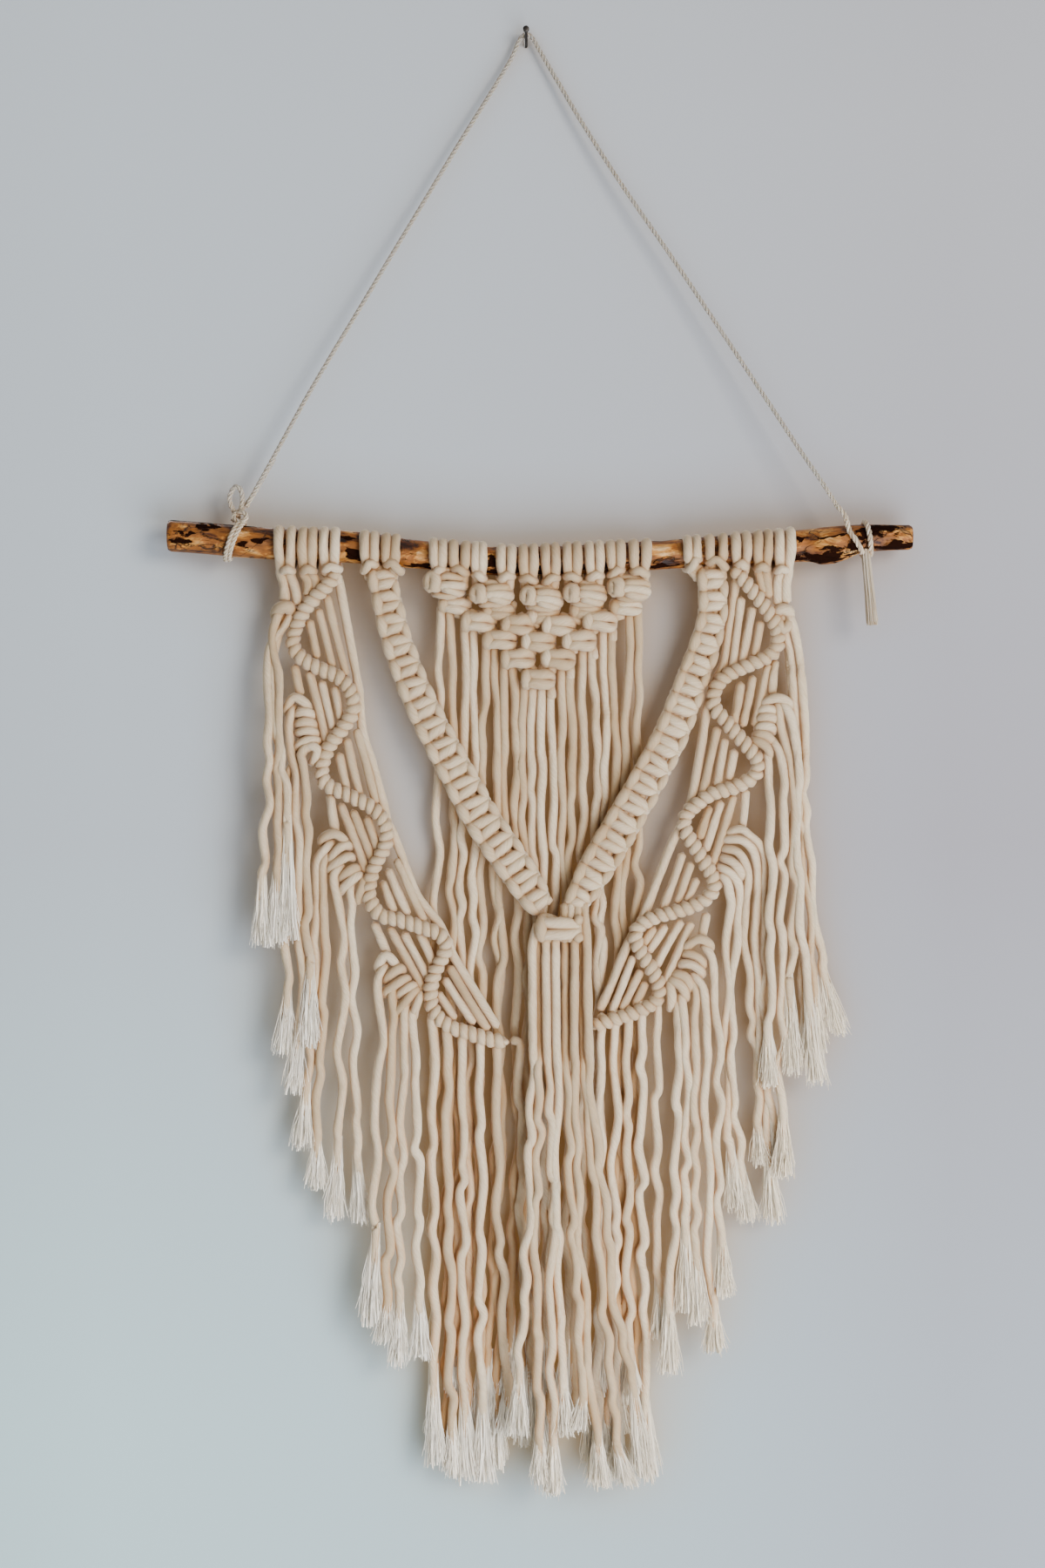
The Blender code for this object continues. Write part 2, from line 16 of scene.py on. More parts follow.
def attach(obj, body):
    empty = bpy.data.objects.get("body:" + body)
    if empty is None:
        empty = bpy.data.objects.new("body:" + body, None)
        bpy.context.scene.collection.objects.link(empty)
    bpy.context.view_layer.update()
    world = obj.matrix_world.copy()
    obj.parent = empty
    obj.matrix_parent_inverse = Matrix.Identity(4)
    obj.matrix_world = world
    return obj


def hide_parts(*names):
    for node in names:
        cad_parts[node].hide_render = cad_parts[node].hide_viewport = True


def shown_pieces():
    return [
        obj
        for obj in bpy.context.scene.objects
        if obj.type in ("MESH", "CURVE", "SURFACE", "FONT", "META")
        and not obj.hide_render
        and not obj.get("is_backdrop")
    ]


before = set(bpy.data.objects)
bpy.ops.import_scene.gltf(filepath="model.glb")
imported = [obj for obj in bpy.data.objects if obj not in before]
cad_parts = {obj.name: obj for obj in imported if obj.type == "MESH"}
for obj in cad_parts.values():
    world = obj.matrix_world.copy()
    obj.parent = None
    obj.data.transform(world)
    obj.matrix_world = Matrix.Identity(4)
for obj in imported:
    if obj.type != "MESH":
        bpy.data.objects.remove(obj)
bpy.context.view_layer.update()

MM = 0.001
BODY = "root"

# Half the thickness of the cotton cord
CORD_R = 2.5  # free in the fringe
HEAD_R = 2.8  # over the branch
BAR_R = 2.35  # in the bar of a lark's head
KNOT_R = 2.6  # pressed in a knot
BLOCK_R = 3.4  # of the doubled bar at the top of each panel's edge
WRAP_R = 2.68  # in the wraps of a rope
JOINING_R = 2.8  # in the joining knot

# A rope's wraps: how far their middle is from the rope's, how far apart they are, the points in one
# turn, and how much a wrap is off its place and out of its size
COIL_R = 1.72
WRAP_PITCH = 4.8
WRAP_STEPS = 9
WRAP_JOG = 0.35
WRAP_SWELL = 0.05

# Depths from the wall, as in the CAD, apart from the first left fringe's, which hangs over the next
BRANCH_Y = -15.5
BACK_FRINGE_Y = -7.5
WEB_Y = -14.5
SENNIT_Y = -15.0
ROPE_Y = -17.0
LEFT_DEPTHS = (-23.0, -19.6, -13.6, -19.6, -13.6)
RIGHT_DEPTHS = (-13.6, -19.6, -13.6, -19.6, -13.6)
BERRY_Y = -21.0
BERRY_CORE_Y = BERRY_Y + 2.6
JOINING_Y = BERRY_Y + 1.0
NET_Y = -16.0
BUNDLE_Y = -26.0

# How far forward a panel hangs at the branch, and between which heights it comes back to its layer
TOP_PUSH = -5.0
PUSH_FROM = -286.0
PUSH_TO = -330.0

# Depths along a lark's head: behind its bar, beside it, at both sides of its front and at its middle
BAR_BEHIND_Y = -17.0
BAR_SIDE_Y = -23.4
BAR_NEAR_Y = -26.2
BAR_FRONT_Y = -26.6
# Its tails: how far in they tuck under the bar, how far forward they hang, and the depth and height
# above the bar of the points where they turn up to it
TAIL_TUCK = 0.9
TAIL_LIFT = 0.5
TAIL_TURN = ((-20.4, -2.0), (-21.8, 1.6))
# A strand's way over the branch: degrees from its front over its top, how much of its lean it has
# there, and how far out from the wood it is
Over = namedtuple("Over", "angle lean reach")
OVER_BRANCH = tuple(
    Over(*row)
    for row in (
        (-18, 0.2, 2.5), (10, 0.5, 2.3), (42, 0.8, 1.2), (68, 0.9, -0.2), (90, 1.0, -1.0), (125, 1.0, 0.0),
        (180, 0.6, 2.2), (222, 0.0, 2.5),
    )
)

# The branch's mesh, the slope of its cut ends' edge, and how far bark stands out from the wood
BRANCH_RINGS = 240
BRANCH_SIDES = 96
END_BEVEL = 0.8
BARK_THICK = 0.3

# How far a cord that is held between a rope's turns goes in under the rope
SPAN_TUCK = 2.5

# Kinks of a free cord: how far apart they can be, how steep, and the most that one reaches aside
KINKS = (8, 10, 13, 17, 24)
KINK_SLOPE = 0.12
KINK_MOST = 2.0

# What a brushed-out end is made of. Spread and tip are shares of the cord's and the fibre's thickness
Fibres = namedtuple("Fibres", "name count radius spread waviness shortest tip")
BRUSHED = (
    Fibres("locks", 16, 0.92, 1.3, 5.5, 0.88, 0.66),
    Fibres("fibres", 95, 0.25, 2.0, 9.0, 0.78, 0.6),
)

# Steps of a curve between two given points: in a cord and the branch, in a rope's or a sennit's line,
# in the line that twine is twisted round, and in the hanging cord's route
CURVE_STEPS = 8
LINE_STEPS = 10
TWINE_STEPS = 12
ROUTE_STEPS = 2
# Rings of a brushed-out fibre
FIBRE_RINGS = 6
# In metres: points that lie closer than this are one
SEAM_GAP = 1e-7

# Sizes of the noise on the shapes: a cord's lumps, the sway in how it lies, with the most that it
# rolls in radians, and the waves of brushed-out fibres
LUMP = 1000 / 95
SWAY = 1000 / 40
MOST_ROLL = 9.0
WAVE = 1000 / 60

# The cotton's pattern: a fibre's width, drawn as coarse as it needs to show, its depth and length, and
# the length of cord in which it goes once round
FIBRE_WIDTH = 0.5
FIBRE_DEPTH = 0.6
FIBRE_LENGTH = 20.0
FIBRE_TURN = 32.0
# How far apart two cords read the same noise, in fibre lengths, so that no two are alike
CORDS_APART = 60.0
# The clouds of lighter and deeper cotton, and how far the painted shade of a nook reaches
CLOUD = 26.316
NOOK_SHADE_REACH = 9.0
# Heights between which the painted shade in the nooks gets lighter, and between which the twine
# is painted grey as shade
SHADE_LIGHTER_FROM = -480.0
SHADE_LIGHTER_TO = -720.0
GREY_SHADE_FROM = -262.0
GREY_SHADE_TO = -238.0

# The wood's pattern: flakes and their depth, the plates between cracks, the grain, drawn as coarse as
# it needs to show, and the jags at the edge of left-over bark. Then the spots on the steel
FLAKE = 8.3333
FLAKE_DEPTH = 1.2
PLATE = 10.526
GRAIN = 2.381
JAG = 3.8462
SPOT = 1.1111

Station = namedtuple("Station", "x z radius")
BRANCH = (
    Station(-192, -266.5, 8.4),
    Station(-135, -271.0, 8.2),
    Station(-95, -272.5, 8.4),
    Station(-58, -276.5, 7.6),
    Station(-7, -280.5, 7.5),
    Station(73, -277.0, 7.7),
    Station(144, -272.0, 8.3),
    Station(159, -272.0, 10.0),
    Station(170, -270.5, 9.4),
    Station(183, -268.0, 7.3),
    Station(207, -267.5, 6.7),
)

# Where bark and dark cracks are left, and the wide patch of painted shade under the heading cords:
# along in mm, round in degrees from the front over the top, and how far each reaches along and round
Patch = namedtuple("Patch", "x angle long wide")
BARK_AND_SHADE_PATCHES = tuple(
    Patch(*row)
    for row in (
        (-184.5, -20, 5.5, 13), (-170, 44, 6.5, 18), (-168, 82, 26, 8), (-176, 8, 12, 3.5),
        (-153, -12, 5, 15), (-143, 8, 10, 4), (-93, -36, 4.6, 26), (-97, 30, 5, 8), (-58, -56, 8, 14),
        # The wide patch at x 17, low on the front, is painted shade between the heading cords
        (17, -36, 40, 26), (-18.6, -10, 2.5, 26), (76, -52, 10, 9), (158, -12, 7, 8), (145, 14, 1.8, 8),
        (161, 20, 13, 3.8), (162.5, -54, 14, 24), (175.2, -14, 4.4, 28), (180, 12, 4.2, 32),
        (190, 36, 9, 30), (196, -48, 14, 22), (143, -62, 5, 16), (165, -18, 6, 9), (60, 100, 80, 20),
        (-60, 170, 60, 30), (120, 200, 40, 26),
    )
)

# The hanging cord's route, point for point as in the CAD
HANGER_ROUTE = (
    (-150.0, -16.5, -251.6),
    (-146.0, -15.8, -243.5),
    (-139.4, -15.3, -231.5),
    (-132.0, -14.8, -218.0),
    (-118.6, -13.9, -193.5),
    (-105.0, -12.9, -170.0),
    (-91.2, -12.0, -147.0),
    (-75.0, -10.9, -119.6),
    (-56.4, -9.4, -88.5),
    (-37.6, -7.9, -57.0),
    (-22.0, -6.4, -31.6),
    (-12.5, -5.2, -15.9),
    (-7.2, -4.5, -6.4),
    (-4.4, -4.1, 0.6),
    (-2.3, -4.0, 4.1),
    (0.4, -4.0, 5.6),
    (3.0, -4.0, 4.0),
    (5.5, -4.2, 0.0),
    (9.4, -4.7, -7.0),
    (17.0, -5.6, -20.2),
    (30.6, -7.2, -43.6),
    (52.6, -9.2, -78.4),
    (79.6, -11.2, -118.0),
    (105.4, -13.4, -157.2),
    (130.6, -17.0, -196.2),
    (147.6, -20.5, -222.8),
    (159.6, -23.0, -241.0),
    (166.4, -24.3, -252.2),
)

# Lark's heads: the two strands over the front of the branch, the bar across them under it, how far
# the bar's middle stands above its ends, and where the two tails go
Head = namedtuple("Head", "left right bar_left bar_right bar_z arch slant tails back", defaults=(0,))
HEADS_1 = (
    Head(-132, -125.5, -129.6, -125.2, -285.4, 1.0, 0,
         (((-129.4, -294), (-129.2, -304)), ((-124, -294), (-122, -305)))),
    Head(-119.5, -114, -119.0, -113.8, -285.4, 1.0, 0,
         (((-116.6, -291), (-117.6, -300)), ((-112.8, -291), (-112, -298)))),
    Head(-108, -102, -107.4, -100.2, -284.8, 1.0, 0,
         (((-105, -290), (-108, -296)), ((-101, -289), (-101, -294)))),
)
HEADS_2 = (
    Head(-86, -81, -86.6, -80.8, -283.4, 1.6, 3.0,
         (((-84, -288), (-83.5, -292)), ((-80, -288), (-79.5, -292)))),
    Head(-75, -70, -74.4, -67.2, -283.4, 1.8, -4.0,
         (((-76, -288), (-76.5, -292)), ((-71, -288), (-71, -292)))),
)
HEADS_3 = tuple(
    Head(left, right, left - 0.4, right + 0.4, bar_z, 0.8, slant,
         (((left + 1, -293), (left + 1.4, -297)), ((right - 1, -293), (right - 1.4, -297))), 1.0)
    for left, right, bar_z, slant in (
        (-49, -44.5, -286.0, 2.0), (-38.5, -32.5, -285.6, -2.0), (-27, -23, -288.6, -2.4),
        (-13.5, -8, -289.2, 1.6), (-1.5, 4, -290.4, -1.0), (10.5, 16, -290.4, 2.0),
        (22, 27.5, -289.4, -1.6), (34, 39.5, -288.8, 1.4), (45.5, 50.5, -286.4, 2.4),
        (57.5, 64, -286.6, -1.6),
    )
)
HEADS_4 = (
    Head(86.5, 91, 87.0, 92.2, -281.8, 1.0, 5.0, (((91, -288), (93, -292)), ((95, -288), (96, -292)))),
    Head(98, 105, 97.6, 106.2, -281.8, 2.0, -2.6, (((99, -288), (99, -292)), ((104.5, -288), (105, -292)))),
)
HEADS_5 = (
    Head(112, 118, 112.6, 117.4, -282.8, 1.0, -1.0,
         (((113.5, -288), (112.4, -293)), ((116, -288), (118, -294)))),
    Head(123.5, 129, 123.6, 128.6, -284.2, 1.0, 0,
         (((125.6, -290), (127, -299)), ((128.6, -290), (130, -301)))),
    Head(135, 141, 134.2, 138.6, -285.2, 1.0, 0,
         (((134.6, -292), (135, -305)), ((139.0, -292), (139.4, -304)))),
)

# Zigzag ropes: the line of the cord that the hitches wrap
Bend = namedtuple("Bend", "x z")
LEFT_ROPE = [
    Bend(*row)
    for row in (
        (-101, -287), (-107, -294), (-114, -301), (-121, -310.5), (-125, -323.5), (-120.8, -332),
        (-110.5, -337.8), (-101, -342), (-94.2, -350.2), (-92.8, -360), (-98.8, -370.2), (-106, -380),
        (-109.6, -391.2), (-107.4, -399.6), (-95, -405.8), (-83, -412), (-75.4, -422), (-75.6, -432.4),
        (-80.4, -442), (-84, -452), (-83.6, -462), (-77.8, -470.2), (-67.2, -472.6), (-55.6, -476.8),
        (-47.2, -479.6), (-42.6, -486.2), (-44.8, -492.8), (-49, -501.2), (-51.4, -511.4),
        (-49.6, -521.2), (-42, -528.8), (-30.4, -533), (-18.2, -537), (-7, -538.2),
    )
]
RIGHT_ROPE = [
    Bend(*row)
    for row in (
        (111.6, -285), (118.6, -293.6), (125.6, -302), (131.6, -310.6), (135, -319.4), (133.6, -327.8),
        (127, -332.8), (117.2, -337), (107.4, -341.6), (101.4, -349), (101, -358.4), (106.6, -365.4),
        (113, -373), (120, -381), (124.2, -388), (122.4, -395.4), (113, -401), (101.4, -404.4),
        (92.6, -409.6), (85.6, -417), (85, -423.6), (89.8, -432), (95.2, -440.8), (100.4, -450.2),
        (100.4, -456.8), (93.8, -463.2), (82.2, -467.4), (68.2, -471.6), (59.8, -476.8), (58.8, -483.8),
        (63, -492.2), (67.8, -499.8), (71, -507.2), (71, -513.8), (65.4, -519), (53.8, -523.6),
        (43, -526.8), (34, -530.6),
    )
]

# Cords held between a rope's turns
Span = namedtuple("Span", "x0 z0 x1 z1")
LEFT_SPANS = [
    Span(*row)
    for row in (
        (-116, -313.5, -112.5, -330.5), (-111, -307.5, -104.5, -335.5), (-106.5, -300.5, -97, -339.5),
        (-124, -337.5, -121.5, -350.5), (-116, -341, -107.5, -376.5), (-109.5, -346, -104, -369),
        (-102.5, -349, -100, -363.5), (-100, -385, -96.5, -402), (-96, -377, -89.5, -404.5),
        (-90.5, -372, -81, -408.5), (-105, -407, -102.5, -424.5), (-99, -412, -86, -445.5),
        (-92.5, -415.5, -83, -439.5), (-85, -419, -80, -434), (-76.5, -453.5, -71.5, -467),
        (-73.5, -447, -64, -468.5), (-69, -441.5, -55.5, -472), (-81, -475.5, -75, -489.5),
        (-72.5, -478, -55.5, -508.5), (-65, -481, -53.5, -502), (-56.5, -481, -50.5, -494.5),
        (-46.5, -513, -39, -524.5), (-43, -505.5, -29, -527), (-40.5, -499, -21.5, -530.5),
    )
]
RIGHT_SPANS = [
    Span(*row)
    for row in (
        (115, -301.5, 110.5, -338), (121, -306.5, 116, -333.5), (125.5, -314, 122.5, -330.5),
        (115, -347, 111.5, -367), (121.5, -343.5, 116.5, -367), (129.5, -337, 123, -367),
        (133.5, -335, 132, -350.5), (102.5, -371, 95, -404), (106.5, -377, 102.5, -400),
        (111.5, -383, 109, -396), (98, -413.5, 93.5, -427.5), (104, -410.5, 96.5, -434),
        (111, -407.5, 100, -442.5), (117.5, -404.5, 116, -422), (83.5, -438.5, 74, -465),
        (88, -443.5, 81.5, -462), (91, -452, 86.5, -461), (68, -478, 63.5, -484.5),
        (74, -477, 66.5, -488.5), (82.5, -474.5, 70.5, -496), (88, -475.5, 75, -505.5),
        (96.5, -470.5, 94.5, -481), (57, -493.5, 46.5, -521), (61, -501, 52, -519.5),
        (63.5, -507.5, 59, -517),
    )
]

# The cord that runs on at the inner edge of each panel, past the rope's turns
LEFT_EDGE = [
    Bend(*row)
    for row in (
        (-100.6, -289), (-95.5, -318), (-90.6, -345), (-89.2, -358), (-87.6, -373), (-82.3, -389),
        (-78, -405), (-74.5, -419), (-70.5, -429), (-67.2, -437), (-59, -458.7), (-47.4, -474),
        (-42.5, -484), (-38.5, -493), (-27, -512), (-15, -531),
    )
]
RIGHT_EDGE = [
    Bend(*row)
    for row in (
        (112.6, -289), (109.8, -310), (106.2, -334), (100.5, -348), (97, -360), (94, -380),
        (89.2, -407), (84, -421), (78.5, -431), (71, -450), (63.5, -469.5), (57, -481), (53.5, -488),
        (45.5, -508), (39, -522),
    )
]

# Short bars of the outer knots: x, z and how far forward, from one hidden end to the other
Via = namedtuple("Via", "x z lift")
LEFT_BARS = [
    [Via(*row) for row in bar]
    for bar in (
        ((-133.6, -311, -4), (-134, -307.6, 0), (-130.8, -305.4, 3), (-127, -305.2, 3), (-125.4, -309, -4)),
        ((-127.6, -363, -3), (-128.4, -359, 1.5), (-124.2, -353.2, 4), (-118.2, -356.6, 3),
         (-116.4, -361, -2)),
        ((-124, -363.4, -3), (-122.6, -361.8, 2.4), (-119.1, -361, 4), (-115.6, -362, 2.4),
         (-114.8, -364.4, -3)),
        ((-123.4, -368.6, -3), (-122, -367.2, 2.4), (-118.3, -366.2, 4), (-114.8, -367, 2.4),
         (-113.6, -369.4, -3)),
        ((-123, -373, -3), (-121.6, -372, 2.4), (-117.5, -370.9, 4), (-113.6, -371.8, 2.4),
         (-112.4, -374, -3)),
        ((-123.6, -382.6, -3), (-122.4, -379.6, 2), (-118.6, -376.6, 4), (-113.4, -375.8, 3),
         (-110.6, -377.4, -2)),
        ((-120, -384, -2), (-117.6, -380, 3), (-114, -379.4, 5), (-111.6, -382, 4.5), (-113.4, -386.4, 3.5),
         (-115.6, -388.6, -2)),
        ((-108.6, -433, -3), (-109.6, -429.4, 1.5), (-103.4, -426.2, 4), (-98, -429.2, 3),
         (-97.4, -433, -2)),
        ((-106.4, -442, -3), (-104.6, -439.4, 2), (-100.4, -434.2, 4), (-96, -432.4, 3),
         (-94.6, -434.4, -2)),
        ((-107, -447, -3), (-104.8, -444.2, 2), (-99.4, -440.4, 4.5), (-94.6, -438.4, 3),
         (-93, -440.4, -2)),
        ((-100.6, -452, -3), (-98.8, -449.6, 2), (-94.6, -446.4, 4.5), (-91.4, -444.8, 3),
         (-90, -446.6, -2)),
        ((-99.6, -458, -3), (-98, -455.4, 2), (-93.4, -451.2, 4.5), (-90, -448.6, 3), (-88.6, -450, -2)),
        ((-87.6, -448.6, -2), (-87.4, -452.4, 3), (-88.4, -457, 4), (-89.8, -461, 1), (-90, -463.6, -3)),
        ((-78, -500.6, -3), (-79, -497, 1.5), (-75.1, -491.4, 4), (-70.6, -495.4, 3), (-70, -499, -2)),
        ((-76, -506, -3), (-74.4, -503.4, 2), (-70.4, -500, 4.3), (-67.2, -498.6, 3), (-66, -500.6, -2)),
        ((-76.4, -513.4, -3), (-75, -510.8, 2), (-69.4, -506.6, 4.5), (-64.6, -504.2, 3),
         (-63.2, -506, -2)),
        ((-69.8, -514.4, -3), (-68, -512, 2), (-64, -509.2, 4.5), (-60.8, -507.8, 3), (-59.6, -509.6, -2)),
        ((-70, -524, -3), (-68.6, -521.4, 2), (-64, -515.4, 4.5), (-59.6, -510.4, 3), (-58, -512, -2)),
        ((-57, -510.6, -2), (-57.4, -514, 3), (-59, -519, 4), (-60.4, -523, 1), (-60.8, -526, -3)),
    )
]
RIGHT_BARS = [
    [Via(*row) for row in bar]
    for bar in (
        ((134, -310, -4), (135, -306.8, 1), (138, -306, 3), (140.6, -307.6, 1), (140.8, -312, -4)),
        ((135.4, -310, -2), (135.6, -313.6, 3), (137.8, -317.4, 4), (140.6, -314, 3.4), (140.8, -310, -2)),
        ((129, -360, -3), (128.2, -356, 2), (134.3, -353.6, 4.5), (140.2, -355.8, 3), (141.4, -360, -2)),
        ((125.6, -361.8, -3), (126.4, -360, 2), (129.8, -359.2, 3.6), (132.6, -360.4, 2),
         (133.4, -362.6, -3)),
        ((125, -366, -3), (125.8, -364.2, 2.4), (129.6, -363.6, 4), (132.8, -364.6, 2.4),
         (133.4, -367, -3)),
        ((124.4, -371, -3), (125.2, -369.2, 2.4), (129, -368.6, 4), (132.2, -369.8, 2.4),
         (132.8, -372.4, -3)),
        ((123.4, -374.6, -3), (124.4, -373, 2.4), (128.4, -373.4, 4), (131.4, -376, 2.4), (132, -379, -3)),
        ((121.6, -377, -2), (123.8, -376.6, 3), (128.2, -379.2, 4.4), (130.4, -383, 3), (129.4, -387, -2)),
        ((104.2, -439.6, -3), (106.2, -439.6, 2), (110.7, -441.6, 4.5), (115, -447, 3), (115.6, -451, -2)),
        ((86, -490, -3), (86.8, -486.4, 2), (92.5, -482.6, 4.5), (98, -485, 3), (98.6, -489, -2)),
        ((84.8, -492.4, -3), (86.4, -490.6, 2), (91.6, -492.2, 4), (95, -495.6, 2), (95.4, -498, -2)),
        ((82.6, -497.6, -3), (84, -496, 2.4), (89.2, -496.6, 4.3), (93.8, -500, 2.6), (94.6, -503, -2)),
        ((79.4, -503.4, -3), (80.8, -501.8, 2.4), (85.4, -503, 4.3), (88, -508, 2.6), (88, -511, -2)),
        ((77, -507, -3), (78.4, -505.2, 2.4), (83, -507.6, 4.3), (85.6, -513, 2), (85.4, -516, -2)),
        ((76.6, -506, -2), (77, -508, 3), (78, -513.4, 4), (77.8, -518.4, 1), (77.6, -521, -3)),
    )
]

# Free cords of a fringe: the way out of the knot, then the middle and the end, and how much of the
# end is brushed out
Strand = namedtuple("Strand", "way half_x end_x end brush")


def strands(*rows):
    return [Strand([Via(*point) for point in row[0]], *row[1:]) for row in rows]


LEFT_FRINGES = (
    strands(
        (((-127, -307, -2), (-126.8, -311, 1.5), (-131, -317, 0.5), (-137.6, -327, 0), (-138.4, -345, 0),
          (-137, -364, 0)), -139, -140.5, -487, 46),
        (((-131, -306, -2), (-133, -310, 2.5), (-136, -319.5, 1.5), (-135.2, -330, 1), (-132.4, -342, 0),
          (-132.2, -362, 0)), -132.5, -133.5, -487, 45),
        (((-129, -306, -3), (-130, -312, -1), (-134, -324, -1), (-136, -340, -1), (-134.6, -362, -1)),
         -127.5, -126.8, -484, 44),
    ),
    strands(
        (((-124.6, -357.4, -2), (-125.8, -361, 2.5), (-127.2, -368, 1.5), (-126.6, -376, 0.5),
          (-125.6, -385, 0), (-123.2, -395, 0), (-123.6, -409, 0)), -121, -125, -566, 46),
        (((-114, -381.6, 2), (-117.2, -379.8, 4), (-120.6, -384, 3), (-119.6, -388, 2), (-118, -400, 0)),
         -116.4, -116.6, -541, 40),
        (((-120, -372, -3), (-122, -384, -2), (-128, -396, -1), (-127, -420, -1)), -128, -130, -545, 40),
    ),
    strands(
        (((-103, -431, -1), (-106, -433, 3), (-111.4, -439.6, 2.5), (-112.6, -450.6, 1), (-112.8, -470, 0)),
         -115.6, -120, -596, 38),
        (((-105, -437, -1), (-108.6, -441, 2.5), (-109.2, -452, 1), (-108.4, -480, 0)),
         -110, -113, -618, 44),
        (((-97.6, -443, 0), (-100.6, -445, 3), (-103.1, -449.4, 3), (-101.6, -459, 1.5), (-99.6, -470, 0),
          (-97.7, -480, 0)), -100, -103, -634, 46),
        (((-92.4, -452, 0), (-94.2, -455.6, 2.5), (-93.3, -464, 1), (-94.4, -475, 0), (-93.3, -488, 0)),
         -91, -88, -636, 44),
    ),
    strands(
        (((-74.6, -496, -1), (-76.6, -498.6, 3), (-79.4, -505, 2.5), (-78.8, -517.4, 1), (-76.2, -536, 0),
          (-78.3, -547, 0)), -81, -84, -690, 38),
        (((-69, -508, 0), (-71.9, -511, 2.5), (-70.8, -523, 1), (-71.9, -533.5, 0), (-72.4, -556, 0)),
         -73.6, -76, -700, 38),
        (((-63, -516.6, 0), (-65, -519.6, 2.5), (-65.4, -533, 0.5), (-65.4, -548, 0)),
         -67, -68.4, -712, 40),
        (((-59.6, -519, 0), (-61.2, -523.6, 2), (-60.6, -533.5, 0), (-59, -547, 0)), -58, -56, -708, 38),
    ),
    strands(
        (((-49, -520, 0), (-50.4, -526, 2), (-49.6, -536, 0)), -48.6, -49, -766, 34),
        (((-42, -528, 0), (-42.4, -534, 2), (-41.8, -544, 0)), -41, -39.4, -772, 38),
        (((-34, -532, 0), (-34.2, -538, 2), (-34.2, -548, 0)), -33, -31, -775, 38),
        (((-25, -535, 0), (-24.6, -541, 2), (-24.6, -551, 0)), -25, -22.6, -776, 36),
        (((-15.6, -537, 0), (-15.6, -543, 2), (-15.4, -553, 0)), -14, -10.6, -750, 34),
        (((-9, -537, 2), (-3.4, -538, 4), (-3.2, -544, 3), (-4.4, -556, 0)), 1, 11, -780, 38),
    ),
)
RIGHT_FRINGES = (
    strands(
        (((137, -306, -2), (138, -312, 1), (139.5, -320, 1), (142.4, -334, 0), (144, -360, 0)),
         145, 150.5, -551, 38),
        (((140, -308, -2), (141.6, -312, 2.5), (144.4, -320, 1.5), (147, -334, 0), (149.6, -366, 0)),
         152, 168, -535, 42),
        (((139, -306, -3), (140, -314, -1), (141, -330, -1), (143, -352, -1)), 149, 157, -544, 40),
    ),
    strands(
        (((127.6, -382, -1), (129.6, -386, 2), (130, -399.7, 0), (131, -412, 0)), 130.6, 130, -563, 38),
        (((130, -374, -1), (133.4, -378.4, 2), (136.3, -384.6, 1), (138.4, -399, 0)), 136.4, 137, -610, 40),
        (((133, -355, -1), (135.4, -358, 2), (136.3, -367.7, 1.5), (139.7, -380, 0.5), (142.2, -393, 0),
          (143.6, -409, 0)), 142, 142.6, -556, 38),
        (((136, -354, 0), (139, -358.4, 3), (142.2, -365.6, 2.5), (144.7, -380, 1), (146.3, -397, 0)),
         148, 156, -562, 38),
    ),
    strands(
        (((102.6, -449.6, -2), (105, -449.2, 3), (107.6, -452, 4), (109, -458, 2.5), (110.2, -464.4, 1),
          (108.7, -474.6, 0)), 107.6, 113, -630, 40),
        (((102, -444.6, -3), (103.8, -444.6, 2), (108.2, -446.4, 4.5), (112.6, -451, 3), (114.6, -458, 1),
          (113.6, -472, 0)), 112, 120, -636, 40),
        (((105, -434.6, -2), (107.2, -434.4, 2), (113.3, -436, 4.5), (117.3, -442, 3.5),
          (119.3, -449.2, 1.5), (118.3, -459.3, 0.5), (117.3, -474.6, 0)), 121, 127, -605, 38),
        (((106, -430, -2), (108.2, -429.4, 2), (115.3, -429.6, 4.5), (121.4, -435, 3.5), (123.9, -444, 1.5),
          (124.4, -454.3, 0.5), (123.9, -469.5, 0)), 125, 133, -636, 40),
        (((108, -426.6, -2), (109.7, -425.2, 2), (115.3, -423.8, 4.5), (119.5, -427, 4), (125.4, -432.5, 3),
          (128, -440, 1.5), (128, -454, 0.5), (128.5, -480, 0)), 129, 138, -612, 40),
    ),
    strands(
        (((80, -514, -1), (81.1, -517.8, 0.5), (81.6, -527, 0), (81.8, -540, 0)), 80, 77, -716, 38),
        (((82, -511, -1), (83.4, -515.6, 1.5), (84.4, -525, 0.5), (85.4, -537, 0)), 86, 86, -683, 36),
        (((86.6, -502.6, -1), (88.7, -505.4, 1.5), (91.6, -513, 1), (90.1, -525, 0), (90.4, -540, 0)),
         91, 93, -690, 36),
        (((88, -501, -1), (90.6, -503.3, 2.5), (94.9, -509.4, 2), (96.4, -522, 0.5), (96.8, -537, 0)),
         97, 101, -704, 38),
        (((94, -485, 0), (97, -488.4, 3), (99.9, -494.4, 2.5), (100.7, -508, 1), (101.1, -522, 0),
          (103.4, -534, 0)), 102.4, 106, -675, 36),
    ),
    strands(
        (((40.6, -522, 0), (40.6, -530, 2), (40, -540, 0)), 39.6, 38, -775, 36),
        (((48, -520, 0), (47.8, -528, 2), (47.4, -538, 0)), 48, 50, -774, 36),
        (((55, -518, 0), (55, -526, 2), (54.8, -536, 0)), 55, 57, -728, 32),
        (((62, -515, 0), (62, -523, 2), (62.2, -533, 0)), 63, 66, -772, 36),
        (((69, -512, 0), (70.6, -519, 2), (70.6, -530, 0)), 70, 73, -698, 32),
    ),
)

